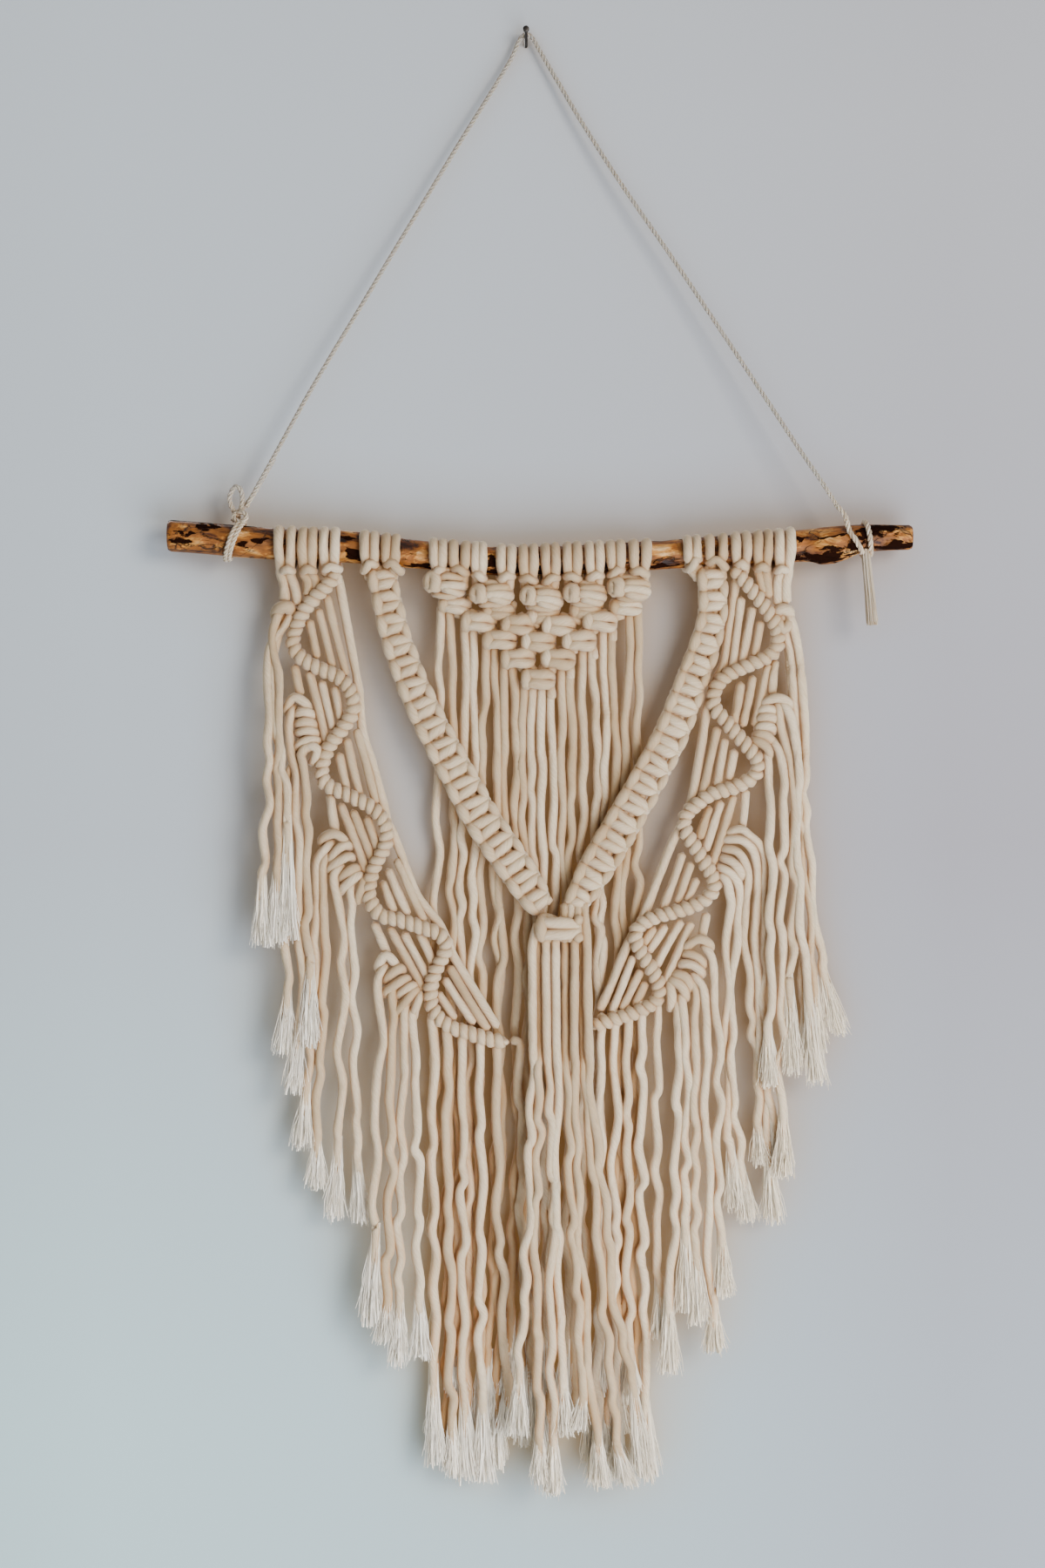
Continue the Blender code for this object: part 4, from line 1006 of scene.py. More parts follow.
def cotton_material(name, light, deep, painted_grey_above=False):
    """Matt cotton: fine fibres that lie along the cord with a slow twist, a slight change of shade and a
    warm deep colour painted in the nooks as shade. The hanger's twine is painted grey above the
    branch, as shade."""
    made, tree, shader = new_material(name, {
        "Roughness": 0.92, "Specular IOR Level": 0.25, "Sheen Weight": 0.25, "Sheen Roughness": 0.45,
        "Subsurface Weight": 0.2, "Subsurface Radius": (0.0026, 0.0015, 0.0007), "Subsurface Scale": 1.0,
    })
    # Noise that is read on a long helix round the cord, so its grains are drawn out into fibres
    lay_map = add(tree, "ShaderNodeUVMap", uv_map="lay")
    parts = add(tree, "ShaderNodeSeparateXYZ", {0: lay_map})
    own = add(tree, "ShaderNodeAttribute", attribute_name="shade").outputs["Fac"]
    twist = add(tree, "ShaderNodeMath",
                {0: parts.outputs["Y"], 1: per_metre(FIBRE_TURN)}, operation="MULTIPLY")
    wound = add(tree, "ShaderNodeMath", {0: parts.outputs["X"], 1: twist}, operation="ADD")
    angle = add(tree, "ShaderNodeMath", {0: wound, 1: 2 * math.pi}, operation="MULTIPLY")
    across = add(tree, "ShaderNodeMath", {0: angle}, operation="COSINE")
    ahead = add(tree, "ShaderNodeMath", {0: angle}, operation="SINE")
    along = add(tree, "ShaderNodeMath",
                {0: parts.outputs["Y"], 1: per_metre(FIBRE_LENGTH)}, operation="MULTIPLY")
    shifted = add(tree, "ShaderNodeMath", {0: own, 1: CORDS_APART}, operation="MULTIPLY")
    moved = add(tree, "ShaderNodeMath", {0: along, 1: shifted}, operation="ADD")
    lie = add(tree, "ShaderNodeCombineXYZ", {"X": across, "Y": ahead, "Z": moved})
    fibres = add(tree, "ShaderNodeTexNoise",
                 {"Vector": lie, "Scale": CORD_R / FIBRE_WIDTH, "Detail": 3.0, "Roughness": 0.6})
    raised = add(tree, "ShaderNodeBump",
                 {"Height": fibres, "Strength": 0.4, "Distance": FIBRE_DEPTH * MM})

    place = add(tree, "ShaderNodeTexCoord").outputs["Object"]
    cloud = add(tree, "ShaderNodeTexNoise", {"Vector": place, "Scale": per_metre(CLOUD), "Detail": 2.0})
    tone = add(tree, "ShaderNodeMath", {0: cloud, 1: own}, operation="ADD")
    half = add(tree, "ShaderNodeMath", {0: tone, 1: 0.5}, operation="MULTIPLY")
    both = add(tree, "ShaderNodeMath", {0: fibres, 1: half, 2: 0.15}, operation="MULTIPLY_ADD")
    dyed = add(tree, "ShaderNodeValToRGB", {0: both}, stops=((0.2, deep), (0.62, light)))

    # Painted shade: nooks that other cords hide are painted a warm deep colour, lighter towards the
    # bottom, but not at the back
    nook_shade = add(tree, "ShaderNodeAmbientOcclusion", {"Distance": NOOK_SHADE_REACH * MM}, samples=2)
    facing = add(tree, "ShaderNodeNewGeometry")
    sides = add(tree, "ShaderNodeSeparateXYZ", {0: facing.outputs["Normal"]})
    behind = add(tree, "ShaderNodeMapRange",
                 {"Value": sides.outputs["Y"], "From Min": 0.05, "From Max": 0.5})
    clear = add(tree, "ShaderNodeMath", {0: nook_shade.outputs["AO"], 1: behind}, operation="MAXIMUM")
    height = add(tree, "ShaderNodeSeparateXYZ", {0: place}).outputs["Z"]
    lower = add(tree, "ShaderNodeMapRange",
                {"Value": height, "From Min": SHADE_LIGHTER_FROM * MM, "From Max": SHADE_LIGHTER_TO * MM})
    painted_nook_shade = add(tree, "ShaderNodeMix", {0: lower, 6: "A8783E", 7: "CF9450"}, data_type="RGBA")
    colour = add(tree, "ShaderNodeMix", {0: clear, 6: painted_nook_shade, 7: dyed}, data_type="RGBA")
    # Painted shade: the twine is painted grey above the branch
    if painted_grey_above:
        grey_above_shade = add(tree, "ShaderNodeMapRange",
                   {"Value": height, "From Min": GREY_SHADE_FROM * MM, "From Max": GREY_SHADE_TO * MM, "To Max": 0.85})
        colour = add(tree, "ShaderNodeMix", {0: grey_above_shade, 6: colour, 7: "A5A096"}, data_type="RGBA")
    tree.links.new(colour.outputs[2], shader.inputs["Base Color"])
    tree.links.new(raised.outputs[0], shader.inputs["Normal"])
    return made


def brushed_material():
    """Brushed-out cotton: loose pale fibres, lighter than the laid cord, as light passes between them."""
    made, tree, shader = new_material("brushed_cotton_fibre", {
        "Roughness": 0.9, "Sheen Weight": 0.35, "Sheen Roughness": 0.4, "Specular IOR Level": 0.25,
    })
    own = add(tree, "ShaderNodeAttribute", attribute_name="shade")
    pale = add(tree, "ShaderNodeValToRGB", {0: own.outputs["Fac"]},
               stops=((0.0, "F2E8D4"), (1.0, "FFFAEE")))
    place = add(tree, "ShaderNodeTexCoord")
    parts = add(tree, "ShaderNodeSeparateXYZ", {0: place.outputs["Object"]})
    aside = add(tree, "ShaderNodeMapRange",
                {"Value": parts.outputs["X"], "From Min": -0.06, "From Max": 0.1, "To Max": 0.6})
    creamy = add(tree, "ShaderNodeMix", {0: aside, 6: pale, 7: "EBD9B8"}, data_type="RGBA")
    tip = add(tree, "ShaderNodeAttribute", attribute_name="tip")
    down = add(tree, "ShaderNodeMapRange", {"Value": tip.outputs["Fac"], "From Min": 0.0, "From Max": 0.5})
    fibres = add(tree, "ShaderNodeMix", {0: down, 6: "D8C7AA", 7: creamy}, data_type="RGBA")
    tree.links.new(fibres.outputs[2], shader.inputs["Base Color"])
    return made


def wood_material():
    """Peeled and oiled hardwood: honey brown flakes with crisp edges, dark cracks and bark between them,
    and a low gloss; one dark patch under the heading cords is painted shade."""
    made, tree, shader = new_material("peeled_oiled_branch_wood", {})
    place = add(tree, "ShaderNodeTexCoord").outputs["Object"]
    long_way = add(tree, "ShaderNodeMapping", {"Vector": place, "Scale": (0.4, 1.0, 1.0)})
    broad = add(tree, "ShaderNodeTexNoise", {
        "Vector": long_way, "Scale": per_metre(FLAKE), "Detail": 7.0, "Roughness": 0.62, "Distortion": 0.7,
    })
    flakes = add(tree, "ShaderNodeValToRGB", {0: broad}, stops=(
        (0.35, "2A1206"), (0.40, "5A2E0E"), (0.455, "84501C"), (0.53, "96581E"), (0.545, "B0742E"),
        (0.60, "C88E48"), (0.67, "F0C890"),
    ))

    # Cracks lie where a second noise passes through its middle value
    aside = add(tree, "ShaderNodeMapping",
                {"Vector": place, "Location": (0.4, 0.2, 0.3), "Scale": (0.36, 1.0, 1.0)})
    lines = add(tree, "ShaderNodeTexNoise", {
        "Vector": aside, "Scale": per_metre(PLATE), "Detail": 5.0, "Roughness": 0.55, "Distortion": 0.9,
    })
    middle = add(tree, "ShaderNodeMath", {0: lines, 1: 0.5}, operation="SUBTRACT")
    ridge = add(tree, "ShaderNodeMath", {0: middle}, operation="ABSOLUTE")
    crack = add(tree, "ShaderNodeMapRange",
                {"Value": ridge, "From Min": 0.003, "From Max": 0.018, "To Min": 0.22})
    grain = add(tree, "ShaderNodeTexNoise",
                {"Vector": long_way, "Scale": per_metre(GRAIN), "Detail": 6.0, "Roughness": 0.65})
    fine = add(tree, "ShaderNodeMapRange",
               {"Value": grain, "From Min": 0.35, "From Max": 0.62, "To Min": 0.62, "To Max": 1.1})
    worn = add(tree, "ShaderNodeMath", {0: fine, 1: crack}, operation="MULTIPLY")
    grained = add(tree, "ShaderNodeVectorMath", {0: flakes, "Scale": worn}, operation="SCALE")

    # Left-over bark, and the painted shade under the heading cords, have a ragged edge, no gloss and no
    # cracks
    bark_and_shade = add(tree, "ShaderNodeAttribute", attribute_name="bark_and_shade")
    ragged = add(tree, "ShaderNodeTexNoise", {
        "Vector": long_way, "Scale": per_metre(JAG), "Detail": 6.0, "Roughness": 0.6, "Distortion": 0.5,
    })
    edge = add(tree, "ShaderNodeMath", {0: ragged, 1: 1.8, 2: bark_and_shade.outputs["Fac"]},
               operation="MULTIPLY_ADD")
    mask = add(tree, "ShaderNodeMapRange", {"Value": edge, "From Min": 1.38, "From Max": 1.46})
    rough = add(tree, "ShaderNodeMapRange", {"Value": mask, "To Min": 0.5, "To Max": 0.8})
    gloss = add(tree, "ShaderNodeMapRange", {"Value": mask, "To Min": 0.32, "To Max": 0.03})
    colour = add(tree, "ShaderNodeMix", {0: mask, 6: grained, 7: "1C0A04"}, data_type="RGBA")
    peeled = add(tree, "ShaderNodeMath", {0: crack, 1: mask}, operation="SUBTRACT")
    height = add(tree, "ShaderNodeMath", {0: broad, 1: 1.5, 2: peeled}, operation="MULTIPLY_ADD")
    raised = add(tree, "ShaderNodeBump",
                 {"Height": height, "Strength": 0.8, "Distance": FLAKE_DEPTH * MM})
    tree.links.new(colour.outputs[2], shader.inputs["Base Color"])
    tree.links.new(rough.outputs[0], shader.inputs["Roughness"])
    tree.links.new(gloss.outputs[0], shader.inputs["Specular IOR Level"])
    tree.links.new(raised.outputs[0], shader.inputs["Normal"])
    return made


def steel_material():
    """Dark drawn steel wire: blackened, with a dull shine."""
    made, tree, shader = new_material("dark_drawn_steel", {"Metallic": 1.0})
    place = add(tree, "ShaderNodeTexCoord").outputs["Object"]
    spots = add(tree, "ShaderNodeTexNoise", {"Vector": place, "Scale": per_metre(SPOT), "Detail": 3.0})
    colour = add(tree, "ShaderNodeValToRGB", {0: spots}, stops=((0.0, "2A2624"), (1.0, "5C5854")))
    dull = add(tree, "ShaderNodeMapRange", {"Value": spots, "To Min": 0.35, "To Max": 0.6})
    tree.links.new(colour.outputs[0], shader.inputs["Base Color"])
    tree.links.new(dull.outputs[0], shader.inputs["Roughness"])
    return made


MATERIALS = {
    "cotton": cotton_material("single_strand_cotton_cord", light="DDCCB0", deep="AC9370"),
    "hanger": cotton_material("plied_cotton_twine", light="DDD2BE", deep="A5947A", painted_grey_above=True),
    "brushed": brushed_material(),
    "wood": wood_material(),
    "steel": steel_material(),
}
CORD_TREE = cord_tree()
BRUSH_TREE = brush_tree()


# ---------------------------------------------------------------- knots


def round_branch(x, angle, reach):
    """A point beside the branch: angle in degrees from its front over its top."""
    z, radius = branch_at(x)
    turn = math.radians(angle)
    return x, BRANCH_Y - (radius + reach) * math.cos(turn), z + (radius + reach) * math.sin(turn)


def larks_head(head, rng):
    """One folded cord: two strands over the front, round the back, and the bar across them."""
    middle = (head.bar_left + head.bar_right) / 2
    wide = max(head.bar_right - head.bar_left, 1.0)
    sides = []
    for x, end, tail, sign in (
        (head.left, head.bar_left, head.tails[0], -1), (head.right, head.bar_right, head.tails[1], 1),
    ):
        lean = rng.uniform(-0.5, 0.5)
        tucked = x - sign * TAIL_TUCK
        slant = head.slant * (end - middle) / wide
        half = [(px, WEB_Y + push(pz) - TAIL_LIFT, pz) for px, pz in reversed(tail)]
        half += [(tucked, y, head.bar_z + rise) for y, rise in TAIL_TURN]
        half += [round_branch(x + lean * over.lean, over.angle, over.reach) for over in OVER_BRANCH]
        half += [
            (end, BAR_BEHIND_Y, head.bar_z + 0.4 + slant),
            (end - sign * 0.1, BAR_SIDE_Y + head.back, head.bar_z - head.arch * 0.5 + slant),
            (end - sign * 2.2, BAR_NEAR_Y + head.back, head.bar_z + head.arch * 0.3 + slant * 0.6),
        ]
        sides.append(half)
    left, right = sides
    radii = [HEAD_R] * (len(left) - 3) + [BAR_R] * 3
    points = left + [(middle, BAR_FRONT_Y + head.back, head.bar_z + head.arch * 0.8)] + right[::-1]
    return points, radii + [BAR_R] + radii[::-1]


def coil(line, rng):
    """The wraps of double half hitches round a rope's line, as one cord, and the cord in them."""
    path, lengths = even_line(line)
    turns = int(lengths[-1] / WRAP_PITCH)
    points = []
    wobble = [rng.uniform(-1, 1) for _ in range(turns + 2)]
    for k in range(turns * WRAP_STEPS + 1):
        turn = k / WRAP_STEPS
        i = int(turn)
        own = wobble[i] + (wobble[i + 1] - wobble[i]) * (turn - i)
        (x, z), (tx, tz) = at_length(path, lengths, turn * WRAP_PITCH + WRAP_JOG * own)
        angle = 2 * math.pi * turn
        reach = COIL_R * (1 + WRAP_SWELL * own)
        side, front = math.cos(angle) * reach, math.sin(angle) * reach
        points.append((x - tz * side, ROPE_Y + push(z) - front, z + tx * side))
    core = [(x, ROPE_Y + push(z), z) for x, z in path[::4]]
    return [(points, WRAP_R), (core, COIL_R)]


def square_knots(place, count, rng, radius=KNOT_R, open_right=False):
    """The four cords of a row of square knots. place(across, along, out) puts a stitch in space, with
    across in half widths, along in knots and out in millimetres. With open_right the bars reach the
    right edge, and the cord that locks them shows at the left only."""
    cords = []
    for stitches in (OPEN_CROSSING, OPEN_LOCKING) if open_right else (CROSSING, LOCKING):
        points, radii = [], []
        for k in range(count):
            for stitch in stitches:
                jog = rng.uniform(-0.02, 0.02)
                out = stitch.out + rng.uniform(-0.15, 0.15)
                points.append(place(stitch.across, k + stitch.along + jog, out))
                radii.append(radius * stitch.thick)
        cords.append((points, radii))
    crossing, locking = cords
    crossing[0].append(place(-0.98, count, -2.2))
    crossing[1].append(radius * 0.9)
    locking[0].append(place(1.0, count, -1.0 if open_right else 2.0))
    locking[1].append(radius)
    for side in (-0.2, 0.2):
        fillers = [place(side, k / 2, 0.0) for k in range(2 * count + 1)]
        cords.append((fillers, [radius] * len(fillers)))
    return cords


def sennit(band, rng, tops):
    """A flat band of square knots along its middle line; tops are where its four cords come from."""
    path, lengths = even_line(band)

    def place(across, along, out):
        (x, z, half), (tx, tz) = at_length(path, lengths, lengths[-1] * along / SENNIT_KNOTS)
        reach = (half - KNOT_R) * across
        return x - tz * reach, SENNIT_Y + push(z) - out, z + tx * reach

    cords = square_knots(place, SENNIT_KNOTS, rng)
    for (points, radii), x in zip(cords, tops):
        points.insert(0, (x, SENNIT_Y + push(SENNIT_TOP) - 2.0, SENNIT_TOP))
        radii.insert(0, radii[0])
    return cords


def turned(middle, x, y, z, angle):
    """A point at x and z from middle, after a turn in the plane of the wall."""
    return (
        middle.x + x * math.cos(angle) - z * math.sin(angle), y,
        middle.z + x * math.sin(angle) + z * math.cos(angle),
    )


def berry(knot, rng, high):
    """A ball of knots: bars bow over its front, and at its left the loop that locks them."""
    turn = rng.uniform(-0.16, 0.10)

    def at(longitude, latitude, lift=0.0):
        a, b = math.radians(longitude), math.radians(latitude)
        girth = math.cos(b) ** 0.7
        x = (BERRY_WIDE + lift) * girth * math.sin(a)
        z = (high + lift) * math.sin(b)
        return turned(knot, x, BERRY_CORE_Y - (BERRY_DEEP + lift) * girth * math.cos(a), z, turn)

    cords = []
    for bar in BERRY_BARS:
        slope = rng.uniform(-16, 8)
        points = [at(bar.first - 12, bar.latitude - 4, -3.0)]
        for k in range(BERRY_STEPS + 1):
            share = k / BERRY_STEPS
            bowed = bar.bow * (math.sin(math.pi * share) - 0.6) + slope * (share - 0.5)
            longitude = bar.first + (bar.last - bar.first) * share
            latitude = bar.latitude + bowed + rng.uniform(-2.5, 2.5)
            points.append(at(longitude, latitude, rng.uniform(-0.3, 0.4)))
        points.append(at(bar.last + 12, bar.latitude - 4, -3.0))
        cords.append((points, KNOT_R * bar.thick))
    loop = [at(-18, -24, -2.6)]
    for angle in range(-60, 241, 30):
        t = math.radians(angle)
        loop.append(at(-44 + 14 * math.cos(t), 24 * math.sin(t), 1.5))
    loop.append(at(-26, -14, -2.6))
    cords.append((loop, KNOT_R * 1.2))
    core = [at(0, 90, -3.0), (knot.x, BERRY_CORE_Y, knot.z), at(0, -90, -3.0)]
    cords.append((core, [1.2, 5.0, 1.2]))
    return cords


def flat_knot(knot, half, height, depth, rng, radius=KNOT_R, tilt=0.0, open_right=True):
    """One square knot that lies flat, its middle at knot. An open one widens towards its right."""

    def place(across, along, out):
        x = half * (across if across > -0.6 else across + 0.14)
        parting = 1 + (0.95 * max(across, 0.0) if open_right else 0.0)
        z = height * (0.5 - along) * (1 + 0.16 * across) * parting
        return turned(knot, x, depth - out, z, tilt)

    return square_knots(place, 1, rng, radius=radius, open_right=open_right)


# ---------------------------------------------------------------- fringes


def hang(way, half_x, end_x, end, depth, rng):
    """A free cord from its knot down to its end, with the kinks that cotton keeps from the skein."""
    x0, _, z0 = way[-1]
    points = list(way)
    z = z0 - rng.uniform(8, 14)
    side = rng.choice((-1, 1))
    drift = 0.0
    while z > end + KINKS[0]:
        t = (z - z0) / (end - z0)
        x = x0 * (1 - t) * (1 - 2 * t) + half_x * 4 * t * (1 - t) + end_x * t * (2 * t - 1)
        grown = min(0.35 + t * 4, 1.0)
        step = rng.choice(KINKS)
        reach = side * min(step * KINK_SLOPE, KINK_MOST) * rng.uniform(0.35, 1.0) * grown
        points.append((x + reach + drift, depth + rng.uniform(-1.3, 1.3), z))
        side = -side if rng.random() < 0.8 else side
        drift = 0.85 * (drift + rng.uniform(-0.9, 0.9))
        z -= step
    points.append((end_x, depth - 1.5 + rng.uniform(-0.6, 0.6), end))
    return points


def split_end(points, brush):
    """The laid part of a cord, which runs on thinner into the first half of its brushed-out end, and
    the guide line of that end."""
    total = 0.0
    i = len(points) - 1
    while total < brush and i > 1:
        total += math.dist(points[i], points[i - 1])
        i -= 1
    start = Vector(points[i])
    if total > brush:
        over = (total - brush) / math.dist(points[i], points[i + 1])
        start = Vector(points[i + 1]).lerp(start, over)
    tip = Vector(points[-1])
    inner, guide = (
        [tuple(start.lerp(tip, share)) for share in shares]
        for shares in ((0.0, 0.3, 0.55), (-0.04, 0.25, 0.5, 0.75, 1.0))
    )
    return points[: i + 1] + inner, guide


def brushed(name, guides, seed):
    """Brushed-out ends: thick locks that keep together, and loose fibres round them."""
    pieces = []
    for kind in BRUSHED:
        piece = run_tree(
            f"{name}_{kind.name}", BRUSH_TREE, guides, fibres=kind.count, fibre_radius=kind.radius * MM,
            spread=kind.spread, waviness=kind.waviness * MM, shortest=kind.shortest, tip=kind.tip,
            seed=seed, material=MATERIALS["brushed"],
        )
        dress(piece, "cord_cotton")
        pieces.append(piece)
    return pieces


def fringe(name, rows, depth, seed, pushed=True):
    """The cords of one fringe and their brushed-out ends."""
    rng = random.Random(seed)
    cords, guides = [], []
    for row in rows:
        way = []
        for i, via in enumerate(row.way):
            settled = (i / (len(row.way) - 1)) ** 2
            base = WEB_Y + (push(via.z) if pushed else 0.0)
            way.append((via.x, base + (depth - base) * settled - via.lift, via.z))
        points = hang(way, row.half_x, row.end_x, row.end, depth, rng)
        body, guide = split_end(points, row.brush)
        radius = CORD_R * rng.uniform(0.95, 1.04)
        cords.append((body, [radius] * (len(body) - 2) + [radius * 0.86, radius * 0.5]))
        guides.append((guide, radius))
    piece = lay(name, cords, spacing=2.0)
    ends = brushed(name.replace("fringe", "brushed_ends"), guides, seed)
    lengths = [sum(math.dist(a, b) for a, b in zip(points, points[1:])) for points, _ in cords]


# ---------------------------------------------------------------- the pieces


def make_headings():
    rng = random.Random(11)
    for i, heads in enumerate((HEADS_1, HEADS_2, HEADS_3, HEADS_4, HEADS_5)):
        lay(f"heading_{i + 1}", [larks_head(head, rng) for head in heads])


def make_panels():
    rng = random.Random(23)
    for side, rope, edge, spans, bars in (
        ("left", LEFT_ROPE, LEFT_EDGE, LEFT_SPANS, LEFT_BARS),
        ("right", RIGHT_ROPE, RIGHT_EDGE, RIGHT_SPANS, RIGHT_BARS),
    ):
        cords = coil(rope, rng)
        cords.append(([(x, WEB_Y + push(z) + 0.6, z) for x, z in edge], CORD_R))
        for span in spans:
            dx, dz = span.x1 - span.x0, span.z1 - span.z0
            under = SPAN_TUCK / math.hypot(dx, dz)
            line = []
            for share, lift in ((-under, 0.0), (0.0, 0.4), (0.5, 1.0), (1.0, 0.4), (1 + under, 0.0)):
                z = span.z0 + dz * share
                bow = rng.uniform(-0.3, 0.3) if share == 0.5 else 0.0
                line.append((span.x0 + dx * share + bow, WEB_Y + push(z) - lift, z))
            cords.append((line, CORD_R * rng.uniform(0.94, 1.02)))
        for i, bar in enumerate(bars):
            line = [(via.x, WEB_Y + push(via.z) - via.lift, via.z) for via in bar]
            cords.append((line, BLOCK_R if i == 0 else KNOT_R))
        lay(f"zigzag_panel_{side}", cords, spacing=1.7)


def make_sennits():
    rng = random.Random(37)
    for side, band, tops in (
        ("left", LEFT_SENNIT, (-83.5, -71, -79.5, -76)), ("right", RIGHT_SENNIT, (92, 105, 96, 100)),
    ):
        lay(f"sennit_{side}", sennit(band, rng, tops), spacing=1.6)


def make_berries(rng):
    for i, knot in enumerate(BERRIES):
        high = BERRY_HIGH if i else FIRST_BERRY_HIGH
        lay(f"berry_knot_{i + 1}", berry(knot, rng, high), spacing=1.4)


def make_triangle(rng):
    """The knots that close the berries, then each row of the triangle and the cords between the rows."""
    cords = []
    for knot in CLOSINGS:
        cords += flat_knot(knot, 7.4, 7.0, NET_Y + 0.6, rng, tilt=rng.uniform(-0.2, 0.0))
    for knot in (knot for row in NET_ROWS for knot in row):
        tilt = rng.uniform(-0.14, 0.05)
        cords += flat_knot(knot, 8.0, 9.8, NET_Y - 0.4, rng, radius=KNOT_R * 1.02, tilt=tilt)
    for upper, lower in zip((CLOSINGS, *NET_ROWS), NET_ROWS):
        for knot in lower:
            over = sorted(upper, key=lambda other: abs(other.x - knot.x))[:2]
            left, right = sorted(over, key=lambda other: other.x)
            for source, out, into in (
                (left, NEAR_X, -6.6), (left, FAR_X, -2.0), (right, -FAR_X, 2.0), (right, -NEAR_X, 6.6),
            ):
                cords.append(([
                    (source.x + out * 0.8, NET_Y + 1.0, source.z - 1.0),
                    (source.x + out, NET_Y + 0.6, source.z - 5.0),
                    (knot.x + into, NET_Y + 0.6, knot.z + 5.0),
                    (knot.x + into * 0.8, NET_Y + 1.0, knot.z + 1.0),
                ], KNOT_R))
    lay("knot_triangle", cords, spacing=1.6)


def make_joining_knot(rng):
    """The large knot and the cords that come down to it from the two sennits."""
    cords = flat_knot(JOINING, 11.6, 13.6, JOINING_Y, rng, radius=JOINING_R, open_right=False)
    for across, above in ((-7.5, 8.0), (-4.2, 8.0), (4.2, 14.0), (7.5, 15.0), (11.0, 15.0)):
        x = JOINING.x + across
        line = [(x, JOINING_Y + 3.0, JOINING.z + above), (x, JOINING_Y, JOINING.z),
                (x, JOINING_Y + 2.0, JOINING.z - 8.0)]
        cords.append((line, KNOT_R))
    lay("joining_knot", cords, spacing=1.6)


def make_net():
    rng = random.Random(41)
    make_berries(rng)
    make_triangle(rng)
    make_joining_knot(rng)


def make_side_fringes():
    """The fringes that hang from the outer turns of the two zigzag panels."""
    for side, fringes, depths in (
        ("left", LEFT_FRINGES, LEFT_DEPTHS), ("right", RIGHT_FRINGES, RIGHT_DEPTHS),
    ):
        for i, (rows, depth) in enumerate(zip(fringes, depths)):
            fringe(f"fringe_{side}_{i + 1}", rows, depth, seed=100 + 10 * i + len(side))


def make_centre_fringe(rng):
    """It leaves the outer cords of each row of the triangle, and all four of the last knot."""
    starts = []
    for row in (CLOSINGS, *NET_ROWS):
        left, right = row[0], row[-1]
        starts += [(left.x - FAR_X, left.z), (left.x - NEAR_X, left.z)]
        starts += [(right.x + NEAR_X, right.z), (right.x + FAR_X, right.z)]
    starts.sort()
    rows = []
    for i, ((x, z), spread) in enumerate(zip(starts, SPREAD)):
        low = CENTRE_LEFT + (CENTRE_RIGHT - CENTRE_LEFT) * i / (len(starts) - 1)
        way = [Via(x, z + 1, -1), Via(x, z - 6, 0.5)]
        drop = z - 6 - SPREAD_Z
        steps = int(drop / SPREAD_STEP)
        for k in range(1, steps):
            share = k / steps
            ease = share * share * (3 - 2 * share)
            across = x + (spread - x) * ease + rng.uniform(-1.2, 1.2)
            way.append(Via(across, z - 6 - drop * share, rng.uniform(0, 1)))
        way.append(Via(spread, SPREAD_Z, 0))
        rows.append(Strand(way, low + rng.uniform(-3, 3), low + rng.uniform(-4, 4),
                           -750 - 20 * math.sin(2.4 * i), rng.uniform(32, 46)))
    fringe("fringe_centre", rows, BACK_FRINGE_Y, seed=301, pushed=False)


def make_bundle(rng):
    """The cords that leave the joining knot; three of them hang behind the others."""
    rows = []
    for cord in BUNDLE:
        way = [Via(cord.x + cord.inward, -478 + cord.above, 3 - cord.behind),
               Via(cord.x, -486, 4 - cord.behind), Via(cord.x, -500, 1 - cord.behind),
               Via(cord.x + rng.uniform(-1, 1), -540, -cord.behind)]
        half_x = cord.x * 0.6 + cord.low * 0.4 + rng.uniform(-2, 2)
        rows.append(Strand(way, half_x, cord.low, cord.end, rng.uniform(34, 46)))
    fringe("fringe_bundle", rows, BUNDLE_Y, seed=302, pushed=False)


def make_fringes():
    make_side_fringes()
    rng = random.Random(71)
    make_centre_fringe(rng)
    make_bundle(rng)


def join_rings(model, rings):
    """Faces between each ring of points and the next."""
    around = len(rings[0])
    for here, there in zip(rings, rings[1:]):
        for j in range(around):
            model.faces.new((here[j], here[(j + 1) % around], there[(j + 1) % around], there[j]))


def turn_out(name, model, material):
    """One closed smooth object from a model, its faces turned outwards."""
    bmesh.ops.recalc_face_normals(model, faces=model.faces)
    mesh = bpy.data.meshes.new(name)
    model.to_mesh(mesh)
    model.free()
    mesh.shade_smooth()
    mesh.materials.append(material)
    piece = bpy.data.objects.new(name, mesh)
    bpy.context.scene.collection.objects.link(piece)
    return piece


def bark_and_shade_at(x, degrees, cy, cz):
    """How much of a dark patch lies at a place on the branch: past a half there is some. The patches are
    bark, and under the heading cords painted shade.
    """
    astray = noise.noise(Vector((x * 0.11, cy * 2.2 + 7, cz * 2.2)))
    askew = noise.noise(Vector((x * 0.16 + 5, cy * 2.6, cz * 2.6 + 3)))
    dark_patch_share = 0.0
    for patch in BARK_AND_SHADE_PATCHES:
        off = (degrees - patch.angle + 20 * askew + 180) % 360 - 180
        away = math.hypot((x - patch.x + 4.5 * astray) / patch.long, off / patch.wide)
        dark_patch_share = max(dark_patch_share, 1 - away / 2)
    return dark_patch_share


